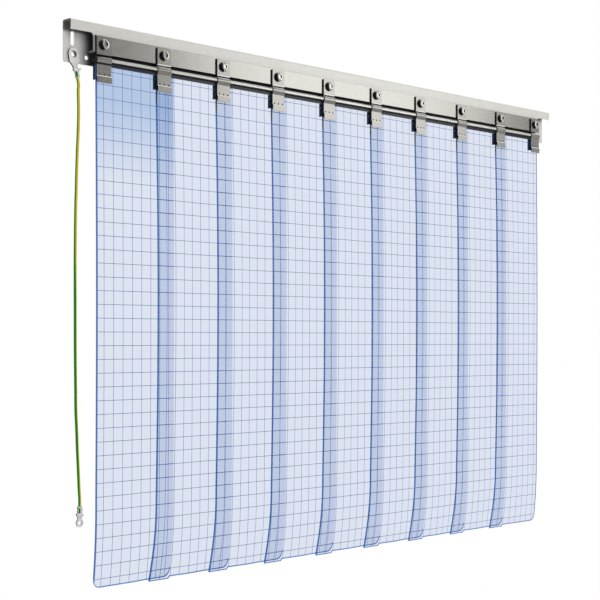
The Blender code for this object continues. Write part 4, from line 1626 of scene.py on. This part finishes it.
@dataclass
class ClipModel:
    """Clip over the bead: hook, slope, leaf with three dimples, crease and foot."""

    sheet: float = 0.0017
    hook_end: float = 126.0
    hook_steps: int = 18
    below_bead: float = 0.0012
    leaf_ease: float = 0.0085
    leaf_end: float = -0.0713
    crease_above: float = 0.012
    jog: float = 0.0018
    fold_line: float = 0.0052
    strip_face: float = -0.029
    dimple_radius: float = 0.0019
    dimple_out: float = 0.0008
    dimple_above: float = 0.0032
    dimple_sides: tuple[float, ...] = (-0.011, 0.0, 0.011)

    @property
    def crease(self) -> float:
        """Z of the crease."""
        return self.leaf_end + self.crease_above

    @property
    def front(self) -> float:
        """Y of the leaf's front face."""
        return self.strip_face - PLAN.gap - self.sheet

    def line(self) -> list[Vector]:
        """Middle line of the sheet: over the bead and down the leaf.

        Returns:
            Points in the YZ plane.
        """
        radius = PLAN.bead_radius + PLAN.gap + self.sheet / 2
        points = []
        for step in range(self.hook_steps + 1):
            angle = math.radians(self.hook_end) * (1 - step / self.hook_steps)
            points.append(Vector((0.0, PLAN.bead_y - radius * math.cos(angle),
                                  PLAN.bead_z + radius * math.sin(angle))))
        leaf = self.front + self.sheet / 2
        for y, z in ((PLAN.bead_y - radius, PLAN.bead_z - self.below_bead),
                     (leaf, PLAN.bead_z - self.leaf_ease), (leaf, self.crease + self.jog / 2),
                     (leaf - self.jog, self.crease - self.jog / 2),
                     (leaf - self.jog, self.leaf_end)):
            points.append(Vector((0.0, y, z)))
        return points

    def in_dimple(self, centre: Vector, normal: Vector) -> bool:
        """Tell whether a face is inside one of the three dimples.

        Args:
            centre: the face's centre.
            normal: its normal.

        Returns:
            True if it is.
        """
        reach = self.dimple_radius + 0.0001
        return (abs(centre.z - self.crease - self.dimple_above) < reach
                and self.front + 0.00005 < centre.y < self.front + 0.0014
                and min(abs(centre.x - side) for side in self.dimple_sides) < reach)

    def on_crease(self, centre: Vector, normal: Vector) -> bool:
        """True for a face of the slope between the leaf and its foot, seen from the front."""
        return (abs(centre.z - self.crease) < self.jog * 1.2
                and normal.z > 0.3 and normal.y < -0.3)

    def on_rim(self, centre: Vector, normal: Vector) -> bool:
        """True for a face on the upper side of the hook, which gets a painted highlight."""
        return centre.z > PLAN.bead_z and normal.z > 0.72 and normal.y < 0.1

    def on_slope(self, centre: Vector, normal: Vector) -> bool:
        """True for a face of the slope under the bead, seen from the front."""
        return (PLAN.bead_z - self.leaf_ease - 0.0002 < centre.z < PLAN.bead_z
                and normal.z < -0.2 and normal.y < -0.3)

    def on_low_slope(self, centre: Vector, normal: Vector) -> bool:
        """True for a face of the lower half of that slope."""
        return self.on_slope(centre, normal) and centre.z < PLAN.bead_z - self.fold_line

    def build(self, finish: bpy.types.Material) -> bpy.types.Object:
        """Clip at X 0: an edge extruded along its line, thickened, with pressed dimples.

        Args:
            finish: its material.

        Returns:
            The piece.
        """
        line = self.line()
        deselect()
        bpy.ops.mesh.primitive_plane_add(size=PLAN.tab_width, location=(0.0, 0.0, 0.0))
        clip = start_piece("clip_model")
        half = PLAN.tab_width / 2
        for vert in clip.data.vertices:
            place = line[0] if vert.co.y > 0 else line[1]
            vert.co = (math.copysign(half, vert.co.x), place.y, place.z)
        last = line[1]
        pick_edges(clip, lambda a, b: (a - b).length > half
                   and abs(a.z - last.z) < 1e-6 and abs(b.z - last.z) < 1e-6)
        for before, here in zip(line[1:], line[2:]):
            bpy.ops.mesh.extrude_region_move(
                TRANSFORM_OT_translate={"value": tuple(here - before)})
        bpy.ops.mesh.select_all(action="SELECT")
        bpy.ops.mesh.normals_make_consistent(inside=False)
        leave_edit()
        wall = clip.modifiers.new("sheet", "SOLIDIFY")
        wall.thickness = self.sheet
        wall.offset = 0.0
        wall.use_even_offset = True
        apply_modifiers(clip)
        fix_normals(clip)
        for side in self.dimple_sides:
            deselect()
            bpy.ops.mesh.primitive_uv_sphere_add(
                segments=16, ring_count=8, radius=self.dimple_radius,
                location=(side, self.front - self.dimple_out, self.crease + self.dimple_above))
            combine(clip, start_piece("dimple"), "DIFFERENCE")
        edit_all(clip)
        bpy.ops.mesh.bisect(plane_co=(0.0, 0.0, PLAN.bead_z - self.fold_line),
                            plane_no=(0.0, 0.0, 1.0))
        leave_edit()
        soften(clip, 0.00035, 2, 40.0, 22.0)
        clip.data.materials.append(finish)
        return clip


@dataclass
class TabModel:
    """Tab under a bolt: a plate with a swollen hem along its lower edge and a bolt hole."""

    top: float = 0.0129
    height: float = 0.0332
    sheet: float = 0.003
    back: float = -0.0281
    hem_height: float = 0.0028
    hem_line: float = 0.0013
    hem_swell: float = 0.0005
    corner: float = 0.0015
    bore_radius: float = 0.0053
    hem_top: float = -0.0190

    def on_hem(self, centre: Vector, normal: Vector) -> bool:
        """True for a face of the hem that is seen from the front or from below."""
        return abs(normal.x) < 0.5 and normal.y < 0.3 and centre.z < self.hem_top

    def build(self, finish: bpy.types.Material) -> bpy.types.Object:
        """Tab at X 0.

        Args:
            finish: its material.

        Returns:
            The piece.
        """
        low = self.top - self.height
        tab = add_block("tab_model", (PLAN.tab_width, self.sheet, self.height),
                        (0.0, self.back - self.sheet / 2, self.top - self.height / 2))
        edit_all(tab)
        bpy.ops.mesh.bisect(plane_co=(0.0, 0.0, low + self.hem_height), plane_no=(0.0, 0.0, 1.0))
        leave_edit()
        pick_faces(tab, lambda centre, normal: normal.y < -0.9
                   and centre.z < low + self.hem_height)
        bpy.ops.mesh.extrude_region_move(
            TRANSFORM_OT_translate={"value": (0.0, -self.hem_swell, 0.0)})
        bpy.ops.mesh.select_all(action="SELECT")
        bpy.ops.mesh.bisect(plane_co=(0.0, 0.0, low + self.hem_line), plane_no=(0.0, 0.0, 1.0))
        leave_edit()
        pick_edges(tab, lambda a, b: abs(abs(a.x) - PLAN.tab_width / 2) < 1e-5
                   and abs(a.x - b.x) < 1e-5 and abs(a.y - b.y) > 0.002
                   and (a.z > self.top - 1e-4 or a.z < low + 1e-4))
        bpy.ops.mesh.bevel(offset=self.corner, segments=4, affect="EDGES")
        leave_edit()
        hole = add_bar("hole", self.bore_radius, 0.02, (0.0, self.back, PLAN.bolt_z), sides=40)
        combine(tab, hole, "DIFFERENCE")
        soften(tab, 0.00035, 3, 40.0)
        tab.data.materials.append(finish)
        return tab


@dataclass
class BoltModel:
    """Button head with a hexagon socket, and its shank."""

    back: float = -0.0314
    radius: float = 0.0097
    skirt: float = 0.0020
    dome: float = 0.0042
    dome_turn: float = 80.0
    dome_steps: int = 12
    dome_inset: float = 0.5
    shank_radius: float = 0.005
    shank_length: float = 0.0197
    socket_radius: float = 0.0042
    socket_bar: float = 0.0040

    def is_painted_dark(self, centre: Vector, normal: Vector) -> bool:
        """Tell whether a face gets painted shade: the skirt, the socket's wall, and the left crescent of
        the dome as painted dark reflection.

        Args:
            centre: the face's centre.
            normal: its normal.

        Returns:
            True if it does.
        """
        in_socket = math.hypot(centre.x, centre.z - PLAN.bolt_z) < self.socket_radius - 0.0002
        on_skirt = centre.y > self.back - self.skirt - 0.0002
        crescent = -0.9 * normal.x - 0.4 * normal.z > 0.52
        return abs(normal.y) < 0.5 and (on_skirt or in_socket) or crescent

    def build(self, finish: bpy.types.Material) -> bpy.types.Object:
        """Bolt at X 0: a turned head domed by extrusions, a socket and a shank.

        Args:
            finish: its material.

        Returns:
            The piece.
        """
        face = self.back - self.skirt
        bolt = add_bar("bolt_model", self.radius, self.skirt,
                       (0.0, self.back - self.skirt / 2, PLAN.bolt_z), sides=64)
        pick_faces(bolt, lambda centre, normal: normal.y < -0.9)
        reach, depth = self.radius, 0.0
        full = math.radians(self.dome_turn)
        for step in range(1, self.dome_steps + 1):
            angle = full * step / self.dome_steps
            share = (1 - math.cos(angle)) / (1 - math.cos(full))
            wanted = self.radius * (1 - self.dome_inset * share)
            level = self.dome * math.sin(angle) / math.sin(full)
            bpy.ops.mesh.extrude_region_move(
                TRANSFORM_OT_translate={"value": (0.0, depth - level, 0.0)})
            bpy.ops.transform.resize(value=(wanted / reach, 1.0, wanted / reach),
                                     center_override=(0.0, face - level, PLAN.bolt_z))
            reach, depth = wanted, level
        leave_edit()
        pick_faces(bolt, lambda centre, normal: normal.y > 0.9)
        bpy.ops.mesh.inset(thickness=self.radius - self.shank_radius)
        bpy.ops.mesh.extrude_region_move(
            TRANSFORM_OT_translate={"value": (0.0, self.shank_length, 0.0)})
        leave_edit()
        socket = add_bar("socket", self.socket_radius, self.socket_bar,
                         (0.0, face - self.dome, PLAN.bolt_z), sides=6)
        combine(bolt, socket, "DIFFERENCE")
        fix_normals(bolt)
        soften(bolt, 0.00022, 2, 28.0)
        bolt.data.materials.append(finish)
        return bolt


@dataclass
class RearPlateModel:
    """Rear clamp plate with a flange folded back at each side."""

    top: float = -0.0385
    end: float = -0.066
    sheet: float = 0.0015
    depth: float = 0.007
    corner: float = 0.0012

    def build(self, finish: bpy.types.Material) -> bpy.types.Object:
        """Rear clamp plate at X 0 and Y 0.

        Args:
            finish: its material.

        Returns:
            The piece.
        """
        height = self.top - self.end
        middle = self.end + height / 2
        plate = add_block("rear_plate_model", (PLAN.tab_width, self.depth, height),
                          (0.0, self.depth / 2, middle))
        pick_edges(plate, lambda a, b: abs(a.z - b.z) > 0.001 and a.y < 0.001)
        bpy.ops.mesh.bevel(offset=self.corner, segments=4, affect="EDGES")
        leave_edit()
        hollow = add_block("hollow", (PLAN.tab_width - 2 * self.sheet, self.depth, height + 0.01),
                           (0.0, self.sheet + self.depth / 2, middle))
        combine(plate, hollow, "DIFFERENCE")
        soften(plate, 0.0003, 2, 40.0)
        plate.data.materials.append(finish)
        return plate


@dataclass
class Hangers:
    """Rail and profile, with their edges rounded, and all the small steel pieces on them."""

    clips: ClipModel = field(default_factory=ClipModel)
    tabs: TabModel = field(default_factory=TabModel)
    bolts: BoltModel = field(default_factory=BoltModel)
    rear_plates: RearPlateModel = field(default_factory=RearPlateModel)
    relief_size: Point = (0.050, 0.02, 0.008)
    relief_place: Point = (0.675, 0.0, -0.0370)

    def refined(self, node: str, name: str, width: float, finish: bpy.types.Material) -> bpy.types.Object:
        """Copy of a CAD node with merged faces and rounded edges.

        Args:
            node: the CAD node.
            name: name of the piece.
            width: width of the rounding.
            finish: its material.

        Returns:
            The piece.
        """
        piece = copy_piece(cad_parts[node], name, (0.0, 0.0, 0.0))
        for key in list(piece.keys()):
            del piece[key]
        piece.hide_render = False
        edit_all(piece)
        bpy.ops.mesh.remove_doubles(threshold=0.00001)
        bpy.ops.mesh.dissolve_limited(angle_limit=math.radians(1.0))
        leave_edit()
        soften(piece, width, 2, 40.0)
        piece.data.materials.clear()
        piece.data.materials.append(finish)
        seat(piece, "rail_body", [node])
        return piece

    def rail(self, finishes: Finishes) -> bpy.types.Object:
        """Folded rail with a relief behind the last clips.

        Args:
            finishes: the curtain's finishes.

        Returns:
            The piece.
        """
        rail = self.refined("mounting_rail", "folded_rail", 0.0004, finishes.rail)
        combine(rail, add_block("relief", self.relief_size, self.relief_place), "DIFFERENCE")
        # painted shade on the faces inside the rail's channel
        darken(rail, finishes.channel, lambda centre, normal: -0.0225 < centre.y < -0.0025
               and -0.038 < centre.z < 0.035)
        # painted shade on the underside of the rail's top flange
        darken(rail, finishes.shaded, lambda centre, normal: centre.y < -0.0035
               and normal.z < -0.9 and centre.z > 0.033)
        # painted shade: the back of the rail's front wall is painted near black
        darken(rail, finishes.painted_dark, lambda centre, normal: centre.y < -0.021
               and normal.y > 0.9)
        return rail

    def profile(self, finishes: Finishes) -> bpy.types.Object:
        """Hanger profile with a painted highlight on the bead, and painted shade in the gutter, on the
        underside and on the cut ends.

        Args:
            finishes: the curtain's finishes.

        Returns:
            The piece.
        """
        profile = self.refined("hanger_profile", "bead_profile", 0.0003, finishes.profile)
        # painted highlight on the bead
        darken(profile, finishes.bead, lambda centre, normal: centre.z < PLAN.bead_z + 0.0055
               and centre.y < -0.0262)
        # painted shade in the gutter behind the bead
        darken(profile, finishes.painted_dark, lambda centre, normal: centre.y > -0.0272
               and -0.0275 < centre.z < -0.0165 and (normal.y < 0.3 or normal.z > 0.3))
        # painted shade on the profile's cut ends
        darken(profile, finishes.painted_dark, is_cut_side)
        # painted shade under the bead
        darken(profile, finishes.painted_dark, lambda centre, normal: normal.z < -0.55
               and centre.z < PLAN.bead_z)
        return profile

    def build(self, finishes: Finishes) -> list[bpy.types.Object]:
        """Build every steel piece and seat it.

        Args:
            finishes: the curtain's finishes.

        Returns:
            The pieces.
        """
        found = [self.rail(finishes), self.profile(finishes),
                 self.refined("earth_eyelet", "earth_rivet", 0.00015, finishes.eyelet)]
        clip, tab = self.clips.build(finishes.clip), self.tabs.build(finishes.tab)
        for model in (clip, tab):
            # painted shade: the cut sides of clips and tabs are painted near black
            darken(model, finishes.painted_dark, is_cut_side)
        # the outer copies, used at the ends, carry different painted light from the inner ones
        outer_clip, outer_tab = (copy_piece(model, f"outer_{model.name}", (0.0, 0.0, 0.0))
                                 for model in (clip, tab))
        # painted shade on the lower half of the slope under the bead, outer clip only
        darken(outer_clip, finishes.painted_dark, self.clips.on_low_slope)
        # painted highlight on the top of the hook
        darken(clip, finishes.painted_highlight, self.clips.on_rim)
        # painted shade on the slope under the bead
        darken(clip, finishes.hook_shade, self.clips.on_slope)
        for model in (clip, outer_clip):
            # painted highlight along the crease
            darken(model, finishes.painted_highlight, self.clips.on_crease)
            # painted shade inside the three dimples
            darken(model, finishes.painted_dark, self.clips.in_dimple)
        # painted highlight along the tab's hem
        darken(tab, finishes.painted_highlight, self.tabs.on_hem)
        bolt, plate = self.bolts.build(finishes.bolt), self.rear_plates.build(finishes.rear)
        # painted shade on the bolt's skirt and socket, painted dark reflection on its left crescent
        darken(bolt, finishes.painted_dark, self.bolts.is_painted_dark)
        last = len(PLAN.bolts)
        for number, x in enumerate(PLAN.bolts, 1):
            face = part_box(f"rear_plate_{number}")[0][1]
            for model, name, shift, body, slot, node in (
                    (outer_tab if number in (1, last) else tab, "clamp_tab", 0.0, "rail_body",
                     Slot.TAB, "tab"),
                    (bolt, "button_bolt", 0.0, "rail_body", Slot.BOLT, "bolt"),
                    (outer_clip if number == 1 else clip, "bead_clip", 0.0, PLAN.body(number),
                     Slot.CLIP, "clip"),
                    (plate, "pinch_plate", face, PLAN.body(max(number - 1, 1)), Slot.REAR_PLATE,
                     "rear_plate")):
                made = copy_piece(model, f"{name}_{number}", (x, shift, 0.0))
                seat(made, body, [f"{node}_{number}"])
                found.append(made)
        for model in (clip, tab, outer_clip, outer_tab, bolt, plate):
            bpy.data.objects.remove(model, do_unlink=True)
        return found


@dataclass
class Studio:
    """Pale floor, white surroundings and soft lamps."""

    floor_z: float = -1.06
    floor_size: float = 240.0
    floor_level: float = 0.92
    ambient: float = 0.78
    floor_share: float = 0.99

    def _world(self) -> None:
        """White to the camera and through glass, a white room with dark flags to gloss."""
        world = bpy.data.worlds.new("studio_air")
        bpy.context.scene.world = world
        world.use_nodes = True
        tree = world.node_tree
        path = tree.nodes.new("ShaderNodeLightPath").outputs
        room = place_group(tree, kit().room, "Generated", {})["Level"]
        gloss = mix_node(tree, path["Is Glossy Ray"], self.ambient, room)
        seen = math_node(tree, "MAXIMUM", path["Is Camera Ray"], path["Is Transmission Ray"])
        back = tree.nodes["Background"]
        back.inputs["Color"].default_value = WHITE
        tree.links.new(mix_node(tree, seen, gloss, 1.0), back.inputs["Strength"])

    def _floor(self) -> None:
        """Wide pale floor that keeps the curtain's shadow."""
        deselect()
        bpy.ops.mesh.primitive_plane_add(size=self.floor_size, location=(0.0, 0.0, self.floor_z))
        floor = start_piece("studio_floor")
        material, shader = new_material("studio_floor_white")
        tree = material.node_tree
        shader.inputs["Base Color"].default_value = opaque((self.floor_level,) * 3)
        shader.inputs["Roughness"].default_value = 0.9
        path = tree.nodes.new("ShaderNodeLightPath").outputs
        seen = math_node(tree, "MAXIMUM", path["Is Camera Ray"], path["Is Glossy Ray"])
        share = math_node(tree, "MULTIPLY", seen, self.floor_share)
        room = place_group(tree, kit().room, "Object", {})["Level"]
        glow = tree.nodes.new("ShaderNodeEmission")
        glow.inputs["Color"].default_value = WHITE
        tree.links.new(mix_node(tree, path["Is Camera Ray"], room, 1.0), glow.inputs["Strength"])
        mix = tree.nodes.new("ShaderNodeMixShader")
        tree.links.new(share, mix.inputs["Fac"])
        tree.links.new(shader.outputs[0], mix.inputs[1])
        tree.links.new(glow.outputs[0], mix.inputs[2])
        tree.links.new(mix.outputs[0], tree.nodes["Material Output"].inputs["Surface"])
        floor.data.materials.append(material)

    def _lamp(self, name: str, place: Point, aim: Point, size: tuple[float, float], power: float,
              glossy: bool) -> None:
        """Rectangular soft lamp aimed at a point.

        Args:
            name: name of the lamp.
            place: where it hangs.
            aim: what it lights.
            size: its width and height.
            power: its power in watts.
            glossy: True if the steel mirrors it.
        """
        data = bpy.data.lights.new(name, "AREA")
        data.shape = "RECTANGLE"
        data.size, data.size_y = size
        data.energy = power
        lamp = bpy.data.objects.new(name, data)
        bpy.context.scene.collection.objects.link(lamp)
        lamp.location = place
        lamp.rotation_euler = (Vector(aim) - Vector(place)).to_track_quat("-Z", "Y").to_euler()
        lamp.visible_camera = False
        lamp.visible_glossy = glossy

    def build(self) -> None:
        """Build the surroundings."""
        self._world()
        self._floor()
        middle = (0.0, 0.0, -0.4)
        self._lamp("key_lamp", (-1.6, -3.0, 1.6), middle, (1.6, 1.6), 22.0, False)
        self._lamp("front_right_lamp", (1.777, -1.775, 0.33), (0.1, 0.0, -0.02), (1.17, 2.0), 8.9,
                   True)
        self._lamp("rear_lamp", (-0.5, 2.6, 1.2), middle, (2.0, 2.0), 14.0, False)


def main() -> None:
    """Build the curtain and its surroundings, and report each piece."""
    logging.basicConfig(level=logging.INFO, format="%(name)s: %(message)s")
    bpy.context.scene.view_settings.view_transform = "Standard"
    Viewpoint().build()
    finishes = Finishes()
    Studio().build()
    for group in (EarthLead(), Strips(), Hangers()):
        pieces = group.build(finishes)
        LOG.info("%s: %s", type(group).__name__, ", ".join(piece.name for piece in pieces))
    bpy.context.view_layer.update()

    def plain(box: object) -> list[list[float]]:
        """A box as lists of numbers."""
        return [[float(value) for value in corner] for corner in box]


if __name__ == "__main__":
    main()
